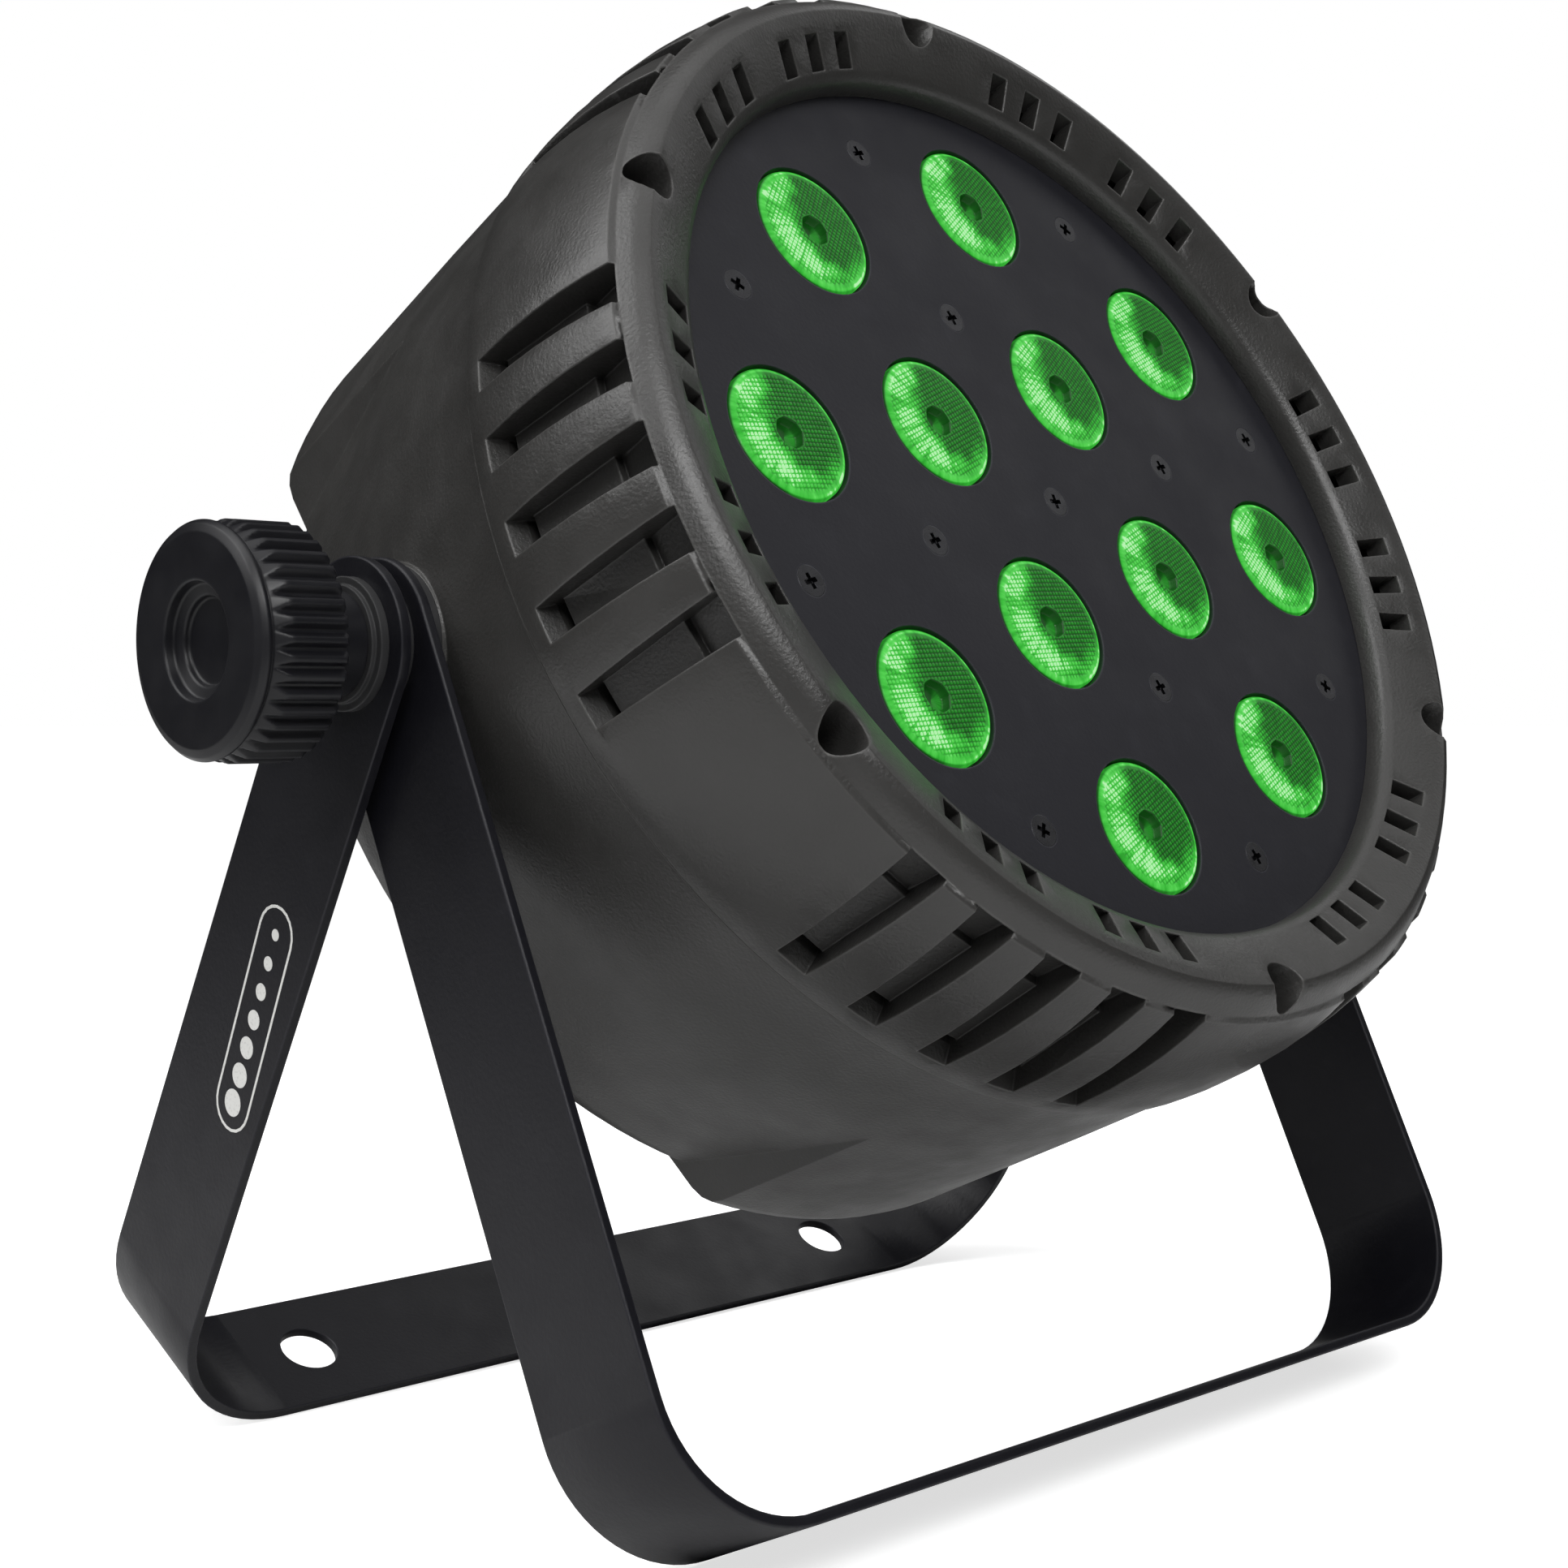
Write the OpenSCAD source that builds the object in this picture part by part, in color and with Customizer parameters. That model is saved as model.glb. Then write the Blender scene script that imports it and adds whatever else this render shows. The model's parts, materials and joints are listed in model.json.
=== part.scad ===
// Par can wash light on a double yoke: twelve lenses, a vented bezel and two clamping knobs.
// Millimetres, +Z up. The origin is on the floor, under the middle of the standing lamp.
// +X runs along the tilt axis and the lit face looks towards -Y.
// Head parts are drawn in the head's own frame: z forwards from the tilt axis, y up the face.

/* [Stance] */
// Upward tilt of the head from level, in degrees
head_tilt = 26; // [-20:1:60]
// Forward lean of the front yoke, in degrees
front_lean = 25; // [20:1:32]
// Backward lean of the rear yoke, in degrees
rear_lean = 29; // [24:1:34]
// Distance of the tilt axis behind the middle of the footprint
pivot_y = 7.9; // [-20:0.1:40]

/* [Yokes] */
// Width of the strap both yokes are bent from
strap_w = 30; // [26:1:34]
// Thickness of the strap
strap_t = 2; // [1.5:0.5:2.5]
// Outer width of the front yoke
front_yoke_w = 228; // [227:1:230]
// Tilt axis to the outside of the front yoke's bar
front_yoke_len = 162; // [150:1:175]
// Outer width of the rear yoke
rear_yoke_w = 238; // [237:1:240]
// Outside bend radius of the front yoke
front_bend_r = 26; // [15:1:40]
// Outside bend radius of the rear yoke
rear_bend_r = 29; // [15:1:45]
// Spacing of the two mounting holes in the rear yoke's bar
mount_hole_gap = 152; // [100:1:170]
// Diameter of the mounting holes
mount_hole_d = 12; // [8:0.5:14]

/* [Head] */
// Radius of the bezel skirt at the parting line
skirt_r = 110.8; // [109.5:0.1:111]
// Parting line, ahead of the tilt axis
parting_z = 33.5; // [30:0.5:36]
// Front surface of the face plate, ahead of the tilt axis
face_z = 63.5; // [62:0.5:65]
// Visible radius of the face plate
face_r = 88.8; // [86:0.1:90]
// Radius of the rear can between its raised lands, at the back
can_back_r = 101.5; // [100:0.5:103]
// Back edge of the rear can, behind the tilt axis
can_back_z = 41.5; // [40:0.5:46]
// Wall thickness of the moulded housings
wall = 2.6; // [2:0.1:3]

/* [Optics] */
// Radius of the outer lens ring
outer_ring_r = 67; // [64:0.5:70]
// Radius of the inner lens ring
inner_ring_r = 29.8; // [28:0.1:32]
// Visible radius of a lens
lens_r = 12.9; // [12:0.1:13.2]
// Turn of the first outer lens from the tilt axis, in degrees
outer_ring_turn = 127.5; // [120:0.5:135]

/* [Knobs] */
// Diameter of a knob over its flutes
knob_d = 40; // [34:1:44]
// Length of a knob
knob_len = 16.5; // [14:0.5:20]
// Number of flutes on a knob
knob_flutes = 40; // [24:2:48]
// Diameter of the clamping stud
stud_d = 8; // [6:1:8]

/* [Shown part] */
// Which node is drawn

/* [Hidden] */
$fn = 96;
eps = 0.01;
fit_gap = 0.05;
m3_r = 1.5;

// Yokes
pivot_z = front_yoke_len * cos(front_lean) + strap_w / 2 * sin(front_lean);
rear_yoke_len = (pivot_z - strap_w / 2 * sin(rear_lean)) / cos(rear_lean);
pivot_hole_r = stud_d / 2 + 0.3;

// Clamping stack on the tilt axis, as distances from the middle plane
boss_face_x = front_yoke_w / 2 - strap_t - 2;
boss_r = 14;
front_leg_x = front_yoke_w / 2;
rear_leg_x = rear_yoke_w / 2;
washer_r = 11.5;
washer_t = 1.6;
washer_step = 0.9;
knob_back_x = 132.4;
knob_neck_r = 9;
knob_cap = 6;
insert_r = 6;
insert_depth = 15;

// Bezel
vent_count = 5;
vent_pitch = 8.15;
sector_count = 6;
sector = 360 / sector_count;
well_r = 4.4;
well_ring_r = 101.1;
well_floor_z = 37;
crest_z = 73.3;
slot_offsets = [5.25, 10.75, 16.25];
slot_w = 4;
slot_in_r = 91.2;
slot_out_r = 97.4;
bezel_screw_r = 2;

// Face plate, board and heat sink, all as z in the head frame
plate_t = 2;
plate_r = 93;
plate_back_z = face_z - plate_t;
board_z = 44.6;
board_t = 1.6;
board_r = 82;
emitter_h = 2.2;
sink_base_t = 5;
sink_z = board_z - sink_base_t;
fin_h = 16;
fin_count = 11;
fin_pitch = 12.5;
fin_t = 1.8;
fan_z = 7;
fan_t = 15;
fan_w = 60;
fan_hole = 25;
fan_screw_r = 1.8;
fan_shaft_r = 1.5;
inner_ring_turn = outer_ring_turn + 22.5;
screw_ring_r = 76.4;
mid_screw_ring_r = 40.1;
screw_turn = outer_ring_turn - 22.5;
face_screw_r = m3_r;
face_screw_head_r = 3;
lens_seat_z = face_z - 6.1;

// Bosses inside the can that take the bezel's screws
screw_boss_r = 6.6;
screw_boss_z = 8;
screw_boss_gap = 0.6;

// Lands raised on the can: start and end angles about the head's axis
lands = [[30, 150], [244, 296]];
land_ramp = 5;

// Rear panel and what it carries
panel_r = 94.6;
panel_t = 1.5;
panel_back_z = -can_back_z + 0.1;
panel_front_z = panel_back_z + panel_t;
panel_lip_r = 85;
panel_screw_ring_r = 90;
xlr_pos = [50, -2];
xlr_flange = [26, 31, 1.8];
xlr_body_r = 11.5;
xlr_screw = [9.5, 12];
power_pos = [27, -50];
power_body = [27.5, 20, 20];
power_flange = [32, 24.5, 2];
fuse_pos = [0, -20];
fuse_r = 6.2;
fuse_bore_r = 4.6;
eye_pos = [0, 78.5];
eye_stem_r = 2.5;
control_pos = [0, 48];
control_board = [76, 44, 1.6];
control_board_z = -33;
display_size = [42, 17];
display_y = 56;
button_y = 37;
button_gap = 15;
button_r = 3;
psu_board = [124, 72, 1.6];
psu_z = -13;
psu_post = [56, 30];
control_post = [34, 18];

// ---------- Frames and shared shapes ----------

module head_frame() {
    translate([0, pivot_y, pivot_z])
        rotate([90 - head_tilt, 0, 0])
            children();
}

module yoke_frame(lean) {
    translate([0, pivot_y, pivot_z])
        rotate([-lean, 0, 0])
            children();
}

// Turns a shape drawn along +Z so that it points outwards along one end of the tilt axis.
module axis_end(side) {
    rotate([0, side * 90, 0])
        children();
}

module ring_copies(radius, start, count, step) {
    for (i = [0 : count - 1])
        rotate([0, 0, start - i * step])
            translate([radius, 0, 0])
                children();
}

module tube(r_out, r_in, h) {
    difference() {
        cylinder(r = r_out, h = h);
        translate([0, 0, -1])
            cylinder(r = r_in, h = h + 2);
    }
}

// A flat wedge between two angles, used to keep part of a turned shape.
module wedge(from, to, z_low, z_high) {
    reach = 160;
    steps = ceil((to - from) / 30);
    rim = [for (i = [0 : steps])
        reach * [cos(from + (to - from) * i / steps), sin(from + (to - from) * i / steps)]];
    translate([0, 0, z_low])
        linear_extrude(z_high - z_low)
            polygon(concat([[0, 0]], rim));
}

// A wedge whose ends slope, so that what it keeps ramps down to the surface round it.
module ramped_wedge(from, to, ramp, z_low, z_high) {
    inner = 97;
    outer = 112;
    function at(radius, angle) = radius * [cos(angle), sin(angle)];
    wedge(from + ramp, to - ramp, z_low, z_high);
    translate([0, 0, z_low])
        linear_extrude(z_high - z_low)
            for (end = [[from, ramp], [to, -ramp]])
                polygon([[0, 0], at(inner, end[0] - end[1]), at(outer, end[0] + end[1]),
                         at(inner, end[0] + 2 * end[1])]);
}

module block(size, centre, z_low) {
    translate([centre[0] - size[0] / 2, centre[1] - size[1] / 2, z_low])
        cube(size);
}

// ---------- Yokes ----------

// The strap's U seen from the front: x across, y down the legs.
module strap_outline(width, length, bend_r) {
    half = width / 2;
    translate([-half, 0])
        square([width, length - bend_r]);
    translate([-half + bend_r, 0])
        square([width - 2 * bend_r, length]);
    for (side = [-1, 1])
        translate([side * (half - bend_r), length - bend_r])
            circle(r = bend_r);
}

module strap_u(width, length, bend_r) {
    difference() {
        translate([0, -strap_w])
            strap_outline(width, length + strap_w, bend_r);
        translate([0, -strap_w - 1])
            strap_outline(width - 2 * strap_t, length + strap_w - strap_t + 1, bend_r - strap_t);
    }
}

// Side view of a leg: rounded round the tilt axis, then straight down past the bar.
module leg_side(length) {
    circle(r = strap_w / 2);
    translate([0, -strap_w / 2])
        square([length + 1, strap_w]);
}

module yoke(width, length, bend_r) {
    difference() {
        intersection() {
            translate([0, strap_w / 2, 0])
                rotate([90, 0, 0])
                    linear_extrude(strap_w)
                        mirror([0, 1])
                            strap_u(width, length, bend_r);
            rotate([0, 90, 0])
                linear_extrude(width + 2, center = true)
                    leg_side(length);
        }
        rotate([0, 90, 0])
            cylinder(r = pivot_hole_r, h = width + 2, center = true);
    }
}

module front_yoke() {
    color("#232326")
        yoke_frame(front_lean)
            yoke(front_yoke_w, front_yoke_len, front_bend_r);
}

module rear_yoke() {
    color("#232326")
        yoke_frame(-rear_lean)
            difference() {
                yoke(rear_yoke_w, rear_yoke_len, rear_bend_r);
                for (side = [-1, 1])
                    translate([side * mount_hole_gap / 2, 0, -rear_yoke_len - 1])
                        cylinder(r = mount_hole_d / 2, h = strap_t + 2);
            }
}

// ---------- Clamping stack ----------

module both_ends(distance) {
    translate([0, pivot_y, pivot_z])
        for (side = [-1, 1])
            axis_end(side)
                translate([0, 0, distance])
                    children();
}

module boss_washers() {
    color("#3a3a3c")
        both_ends(boss_face_x)
            tube(boss_r, pivot_hole_r, front_leg_x - strap_t - boss_face_x);
}

module yoke_washers() {
    color("#3a3a3c")
        both_ends(front_leg_x)
            tube(washer_r, pivot_hole_r, rear_leg_x - strap_t - front_leg_x);
}

module knob_washers() {
    color("#4a4a4d")
        both_ends(rear_leg_x)
            union() {
                tube(washer_r, pivot_hole_r, washer_t);
                tube(washer_r - 1.4, pivot_hole_r, washer_t + washer_step);
            }
}

module stud(side) {
    inner_x = boss_face_x - insert_depth + 1;
    color("#a8a8ac")
        translate([0, pivot_y, pivot_z])
            axis_end(side)
                translate([0, 0, inner_x])
                    cylinder(r = stud_d / 2, h = knob_back_x + knob_len - knob_cap - inner_x);
}

// The knob's turned body: a neck, a fluted grip and a rolled front rim round a shallow recess.
module knob_turned() {
    grip_r = knob_d / 2;
    neck = knob_back_x - rear_leg_x - washer_t - washer_step;
    rotate_extrude()
        polygon([
            [0, -neck], [knob_neck_r, -neck], [knob_neck_r, 0], [grip_r - 0.8, 0],
            [grip_r, 0.8], [grip_r, knob_len - 5.6], [grip_r - 1.5, knob_len - 4.2],
            [grip_r - 0.5, knob_len - 3.4], [grip_r - 0.5, knob_len - 2.1],
            [grip_r - 1.1, knob_len - 0.9], [grip_r - 2.4, knob_len - 0.1],
            [grip_r - 3.2, knob_len], [10, knob_len], [9.6, knob_len - 0.6],
            [9.6, knob_len - 2.2], [7.2, knob_len - 2.6], [7.2, knob_len - 3.6], [0, knob_len - 3.6]
        ]);
}

module knob_flutes_cut() {
    flute_depth = 1.3;
    flute_w = PI * knob_d / knob_flutes * 0.52;
    for (i = [0 : knob_flutes - 1])
        rotate([0, 0, i * 360 / knob_flutes])
            translate([knob_d / 2 - flute_depth, 0, -1])
                linear_extrude(knob_len - 3.2)
                    polygon([[0, -flute_w * 0.2], [flute_depth + 0.5, -flute_w * 0.6],
                             [flute_depth + 0.5, flute_w * 0.6], [0, flute_w * 0.2]]);
}

module knob(side) {
    color("#18181a")
        translate([0, pivot_y, pivot_z])
            axis_end(side)
                translate([0, 0, knob_back_x])
                    difference() {
                        knob_turned();
                        knob_flutes_cut();
                        translate([0, 0, -20])
                            cylinder(r = stud_d / 2 + fit_gap, h = 20 + knob_len - knob_cap + fit_gap);
                    }
}

module pivot_inserts() {
    color("#b08d45")
        both_ends(boss_face_x - insert_depth)
            tube(insert_r, stud_d / 2 + fit_gap, insert_depth);
}

// ---------- Bezel ----------

// Outside of the bezel from the parting line over the crest to the edge of the face plate.
function bezel_outside() = [
    [skirt_r, parting_z], [skirt_r + 0.3, parting_z + 5], [skirt_r + 0.2, parting_z + 12],
    [skirt_r - 0.4, parting_z + 19], [skirt_r - 1.4, parting_z + 25.5], [skirt_r - 2.7, parting_z + 31],
    [skirt_r - 4.0, crest_z - 4.4], [skirt_r - 5.2, crest_z - 3.9], [skirt_r - 6.5, crest_z - 2],
    [skirt_r - 7.9, crest_z - 0.7], [skirt_r - 9.6, crest_z], [skirt_r - 11.6, crest_z - 0.6],
    [face_r + 2.2, face_z + 5.5],
    [face_r + 1.0, face_z + 4.7], [face_r + 0.3, face_z + 3.5], [face_r, face_z]
];

function bezel_inside() = [
    [face_r + 4.4, face_z], [skirt_r - 11.4, crest_z - 5], [skirt_r - 8.8, crest_z - 4.8],
    [skirt_r - 7.4, crest_z - 7.2], [skirt_r - 5.6, parting_z + 24], [skirt_r - wall - 1, parting_z + 12],
    [skirt_r - wall, parting_z]
];

module bezel_shell() {
    rotate_extrude()
        polygon(concat(bezel_outside(), bezel_inside()));
}

module bezel_solid() {
    rotate_extrude()
        polygon(concat(bezel_outside(), [[0, face_z], [0, parting_z]]));
}

// Thicker wall behind each run of vents, so every vent has a floor.
module vent_backing() {
    half = vent_pitch * vent_count / 2 + 0.5;
    intersection() {
        rotate_extrude()
            polygon([
                [skirt_r - 1, parting_z], [skirt_r - 1.6, parting_z + 12], [skirt_r - 3.6, parting_z + 26],
                [skirt_r - 6.8, crest_z - 5.3], [skirt_r - 12.6, crest_z - 6.1],
                [skirt_r - 10.2, parting_z + 24], [skirt_r - 6.5, parting_z]
            ]);
        for (i = [0 : sector_count - 1])
            wedge(i * sector - half, i * sector + half, parting_z, crest_z);
    }
}

// One vent: a recess between two ribs, with a stepped floor and a slit at its back end.
module vent_cut() {
    back_z = parting_z + 4.2;
    front_z = crest_z - 4.0;
    back_w = 6.2;
    front_w = 8.0;
    intersection() {
        rotate([90, 0, 0])
            linear_extrude(20, center = true)
                polygon([
                    [skirt_r + 2, back_z - 0.6], [skirt_r - 3.6, back_z + 0.9], [skirt_r - 9, back_z + 0.9],
                    [skirt_r - 9, back_z + 2.4], [skirt_r - 4.0, back_z + 2.4],
                    [skirt_r - 7.0, parting_z + 25.5], [skirt_r - 8.6, parting_z + 25.6],
                    [skirt_r - 8.4, front_z], [skirt_r + 2, front_z]
                ]);
        translate([skirt_r - 12, 0, 0])
            rotate([90, 0, 90])
                linear_extrude(20)
                    polygon([[-back_w / 2, back_z - 3], [back_w / 2, back_z - 3],
                             [front_w / 2, front_z + 1], [-front_w / 2, front_z + 1]]);
    }
}

module vent_cuts() {
    first = -(vent_count - 1) / 2 * vent_pitch;
    for (i = [0 : sector_count - 1])
        for (k = [0 : vent_count - 1])
            rotate([0, 0, i * sector + first + k * vent_pitch])
                vent_cut();
}

module slot_cuts() {
    for (i = [0 : sector_count - 1])
        for (offset = slot_offsets)
            for (side = [-1, 1])
                rotate([0, 0, i * sector + side * offset])
                    translate([slot_in_r, -slot_w / 2, face_z - 3])
                        cube([slot_out_r - slot_in_r, slot_w, 14]);
}

module well_copies() {
    for (i = [0 : sector_count - 1])
        rotate([0, 0, (i + 0.5) * sector])
            translate([well_ring_r, 0, 0])
                children();
}

// Hooks that hold the face plate up against the bezel's lip.
module plate_hooks() {
    for (i = [0 : sector_count - 1])
        rotate([0, 0, i * sector])
            translate([plate_r - 2.5, -4, plate_back_z - 2.5])
                cube([skirt_r - plate_r - 7.6, 8, 2.5]);
}

module front_housing() {
    color("#3d3c3a")
        head_frame()
            difference() {
                union() {
                    bezel_shell();
                    vent_backing();
                    plate_hooks();
                    intersection() {
                        bezel_solid();
                        well_copies()
                            translate([0, 0, parting_z])
                                cylinder(r = well_r + 2, h = crest_z - parting_z);
                    }
                }
                vent_cuts();
                slot_cuts();
                well_copies() {
                    translate([0, 0, well_floor_z])
                        cylinder(r = well_r, h = 60);
                    translate([0, 0, parting_z - 1])
                        cylinder(r = bezel_screw_r, h = 10);
                }
            }
}

// ---------- Rear can ----------

module can_profile(waist_r, back_r) {
    back_z = -can_back_z;
    polygon([
        [0, parting_z], [skirt_r - 1.9, parting_z], [skirt_r - 1.9, parting_z - 0.5],
        [skirt_r - 0.7, parting_z - 0.7], [skirt_r - 0.9, parting_z - 1.6],
        [waist_r, 5], [back_r + 0.3, back_z + 5], [back_r - 0.2, back_z + 2.2],
        [back_r - 1.3, back_z + 0.7], [back_r - 3, back_z], [0, back_z]
    ]);
}

module can_inside() {
    back_z = -can_back_z;
    rotate_extrude()
        polygon([
            [0, parting_z + 1], [skirt_r - 1.5 - wall, parting_z + 1], [skirt_r - 1.5 - wall, 5],
            [can_back_r - wall, back_z + 6.5], [can_back_r - wall - 2, back_z + 4.6], [0, back_z + 4.6]
        ]);
}

module rear_housing() {
    back_z = -can_back_z;
    boss_in_x = 92;
    color("#3d3c3a")
        head_frame()
            difference() {
                union() {
                    difference() {
                        union() {
                            rotate_extrude()
                                can_profile(skirt_r - 1.5, can_back_r);
                            intersection() {
                                rotate_extrude()
                                    can_profile(skirt_r - 1.5, skirt_r - 3.2);
                                for (land = lands)
                                    ramped_wedge(land[0], land[1], land_ramp, back_z, parting_z);
                            }
                        }
                        can_inside();
                        translate([0, 0, back_z - 1])
                            cylinder(r = panel_lip_r, h = 10);
                        translate([0, 0, back_z - 1])
                            cylinder(r = panel_r + 0.2, h = 1 + panel_t + 0.1);
                    }
                    for (side = [-1, 1])
                        axis_end(side)
                            translate([0, 0, boss_in_x])
                                cylinder(r1 = boss_r + 4, r2 = boss_r, h = boss_face_x - boss_in_x);
                    intersection() {
                        rotate_extrude()
                            can_profile(skirt_r - 1.5, can_back_r);
                        well_copies()
                            translate([0, 0, screw_boss_z])
                                cylinder(r = screw_boss_r, h = parting_z - screw_boss_gap - screw_boss_z);
                    }
                }
                for (side = [-1, 1])
                    axis_end(side) {
                        translate([0, 0, boss_face_x - insert_depth])
                            cylinder(r = insert_r, h = 40);
                        translate([0, 0, boss_in_x - 10])
                            cylinder(r = stud_d / 2 + 0.5, h = 40);
                    }
                well_copies()
                    translate([0, 0, 18])
                        cylinder(r = bezel_screw_r, h = 30);
                ring_copies(panel_screw_ring_r, 15, 8, 45)
                    translate([0, 0, back_z - 1])
                        cylinder(r = m3_r, h = 20);
            }
}

module bezel_screws() {
    color("#8a8a8e")
        head_frame()
            well_copies() {
                translate([0, 0, 19])
                    cylinder(r = bezel_screw_r, h = well_floor_z - 19);
                translate([0, 0, well_floor_z])
                    difference() {
                        cylinder(r = 3.6, h = 2.6);
                        cross_recess(2.6, 2.2);
                    }
            }
}

// ---------- Face plate and optics ----------

// Cross-shaped driver recess, cut downwards from height top.
module cross_recess(top, width) {
    depth = 1.1;
    for (turn = [0, 90])
        rotate([0, 0, turn])
            translate([-width, -0.45, top - depth])
                cube([2 * width, 0.9, depth + 1]);
}

module face_screw_places() {
    ring_copies(screw_ring_r, screw_turn, 8, 45)
        children();
    ring_copies(mid_screw_ring_r, screw_turn, 4, 90)
        children();
    children();
}

module lens_places() {
    ring_copies(outer_ring_r, outer_ring_turn, 8, 45)
        children();
    ring_copies(inner_ring_r, inner_ring_turn, 4, 90)
        children();
}

module lens_place(index) {
    outer = index < 8;
    angle = outer ? outer_ring_turn - 45 * index : inner_ring_turn - 90 * (index - 8);
    rotate([0, 0, angle])
        translate([outer ? outer_ring_r : inner_ring_r, 0, 0])
            children();
}

module face_plate() {
    color("#242427")
        head_frame()
            difference() {
                translate([0, 0, plate_back_z])
                    cylinder(r = plate_r, h = plate_t);
                lens_places()
                    translate([0, 0, plate_back_z - 1])
                        cylinder(r = lens_r + 0.5, h = plate_t + 2);
                face_screw_places() {
                    translate([0, 0, plate_back_z - 1])
                        cylinder(r = face_screw_r, h = plate_t + 2);
                    translate([0, 0, face_z - 1.5])
                        cylinder(r1 = face_screw_r, r2 = face_screw_head_r + 0.02, h = 1.5 + eps);
                }
            }
}

module face_screws() {
    color("#1c1c1e")
        head_frame()
            face_screw_places()
                difference() {
                    union() {
                        translate([0, 0, sink_z + 1])
                            cylinder(r = face_screw_r, h = face_z - 1.5 - sink_z - 1);
                        translate([0, 0, face_z - 1.5])
                            cylinder(r1 = face_screw_r, r2 = face_screw_head_r, h = 1.5);
                    }
                    translate([0, 0, face_z - 1])
                        cross_recess(1, 1.5);
                }
}

// One collimating lens: a deep cup of clear plastic with a dished, dimpled front.
module lens(index) {
    front = face_z - 0.5;
    back = board_z + board_t + emitter_h;
    color("#2fd24a")
        head_frame()
            lens_place(index)
                rotate_extrude()
                    polygon([
                        [0, front - 2.2], [2.2, front - 2.2], [3.0, front - 0.9], [8, front - 0.3],
                        [lens_r - 0.5, front], [lens_r, front - 0.6], [lens_r, lens_seat_z],
                        [lens_r - 1.6, lens_seat_z], [5.6, back + 0.2], [3.6, back + 0.2],
                        [3.0, back + 3.4], [0, back + 3.4]
                    ]);
}

module lens_holders() {
    front = plate_back_z - 0.1;
    back = board_z + board_t;
    color("#161618")
        head_frame()
            lens_places()
                translate([0, 0, back])
                    difference() {
                        cylinder(r = lens_r + 1.5, h = front - back);
                        translate([0, 0, lens_seat_z - back])
                            cylinder(r = lens_r + 0.2, h = 10);
                        translate([0, 0, 1.2])
                            cylinder(r1 = 6.4, r2 = lens_r - 0.9, h = lens_seat_z - back - 1.2 + eps);
                        translate([0, 0, -1])
                            cylinder(r = 5.9, h = 10);
                    }
}

module led_board() {
    color("#e8e8e2")
        head_frame()
            difference() {
                translate([0, 0, board_z])
                    cylinder(r = board_r, h = board_t);
                face_screw_places()
                    translate([0, 0, board_z - 1])
                        cylinder(r = face_screw_r, h = board_t + 2);
            }
}

module led_emitters() {
    color("#e6dc8c")
        head_frame()
            lens_places()
                translate([0, 0, board_z + board_t]) {
                    translate([-2.6, -2.6, 0])
                        cube([5.2, 5.2, 1.2]);
                    cylinder(r = 2.2, h = emitter_h);
                }
}

module plate_spacers() {
    color("#c8c8cc")
        head_frame()
            face_screw_places()
                translate([0, 0, board_z + board_t])
                    tube(2.6, face_screw_r, plate_back_z - board_z - board_t);
}

module heatsink() {
    color("#b9bbbe")
        head_frame()
            difference() {
                union() {
                    translate([0, 0, sink_z])
                        cylinder(r = board_r, h = sink_base_t);
                    intersection() {
                        for (i = [0 : fin_count - 1])
                            translate([(i - (fin_count - 1) / 2) * fin_pitch - fin_t / 2, -board_r, 0])
                                translate([0, 0, sink_z - fin_h])
                                    cube([fin_t, 2 * board_r, fin_h + 1]);
                        translate([0, 0, sink_z - fin_h - 1])
                            cylinder(r = board_r - 2, h = fin_h + 3);
                    }
                    fan_corners()
                        translate([0, 0, fan_z + fan_t])
                            cylinder(r = 3.4, h = sink_z - fan_z - fan_t + 1);
                }
                fan_corners()
                    translate([0, 0, fan_z + fan_t - 1])
                        cylinder(r = fan_screw_r, h = 11);
                face_screw_places()
                    translate([0, 0, sink_z + 1])
                        cylinder(r = face_screw_r, h = sink_base_t + 1);
            }
}

// ---------- Fan ----------

module fan_corners() {
    for (x = [-1, 1], y = [-1, 1])
        translate([x * fan_hole, y * fan_hole, 0])
            children();
}

module fan_frame() {
    color("#19191b")
        head_frame()
            difference() {
                translate([0, 0, fan_z])
                    difference() {
                        translate([-fan_w / 2, -fan_w / 2, 0])
                            cube([fan_w, fan_w, fan_t]);
                        translate([0, 0, 2])
                            cylinder(r = 28.5, h = fan_t);
                        difference() {
                            translate([0, 0, -1])
                                cylinder(r = 28.5, h = 10);
                            translate([0, 0, -2])
                                cylinder(r = 12, h = 12);
                            for (turn = [0 : 3])
                                rotate([0, 0, turn * 90 + 20])
                                    translate([0, -1.5, -2])
                                        cube([30, 3, 12]);
                        }
                        translate([0, 0, 5])
                            cylinder(r = 12.5, h = fan_t);
                        translate([0, 0, 1])
                            cylinder(r = fan_shaft_r + fit_gap, h = fan_t);
                    }
                fan_corners()
                    translate([0, 0, fan_z - 1])
                        cylinder(r = 2.1, h = fan_t + 2);
            }
}

module fan_rotor() {
    blades = 7;
    color("#222224")
        head_frame()
            translate([0, 0, fan_z + 5.6]) {
                cylinder(r = 12, h = 8.6);
                translate([0, 0, -4])
                    cylinder(r = fan_shaft_r, h = 5);
                for (i = [0 : blades - 1])
                    rotate([0, 0, i * 360 / blades])
                        translate([10.5, 0, 4.3])
                            rotate([34, 0, 0])
                                translate([0, -5.4, -0.6])
                                    cube([16.6, 10.8, 1.2]);
            }
}

module fan_screws() {
    color("#8a8a8e")
        head_frame()
            fan_corners()
                translate([0, 0, fan_z - 2]) {
                    cylinder(r = 3.4, h = 2);
                    cylinder(r = fan_screw_r, h = fan_t + 11);
                }
}

// ---------- Power supply ----------

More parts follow.
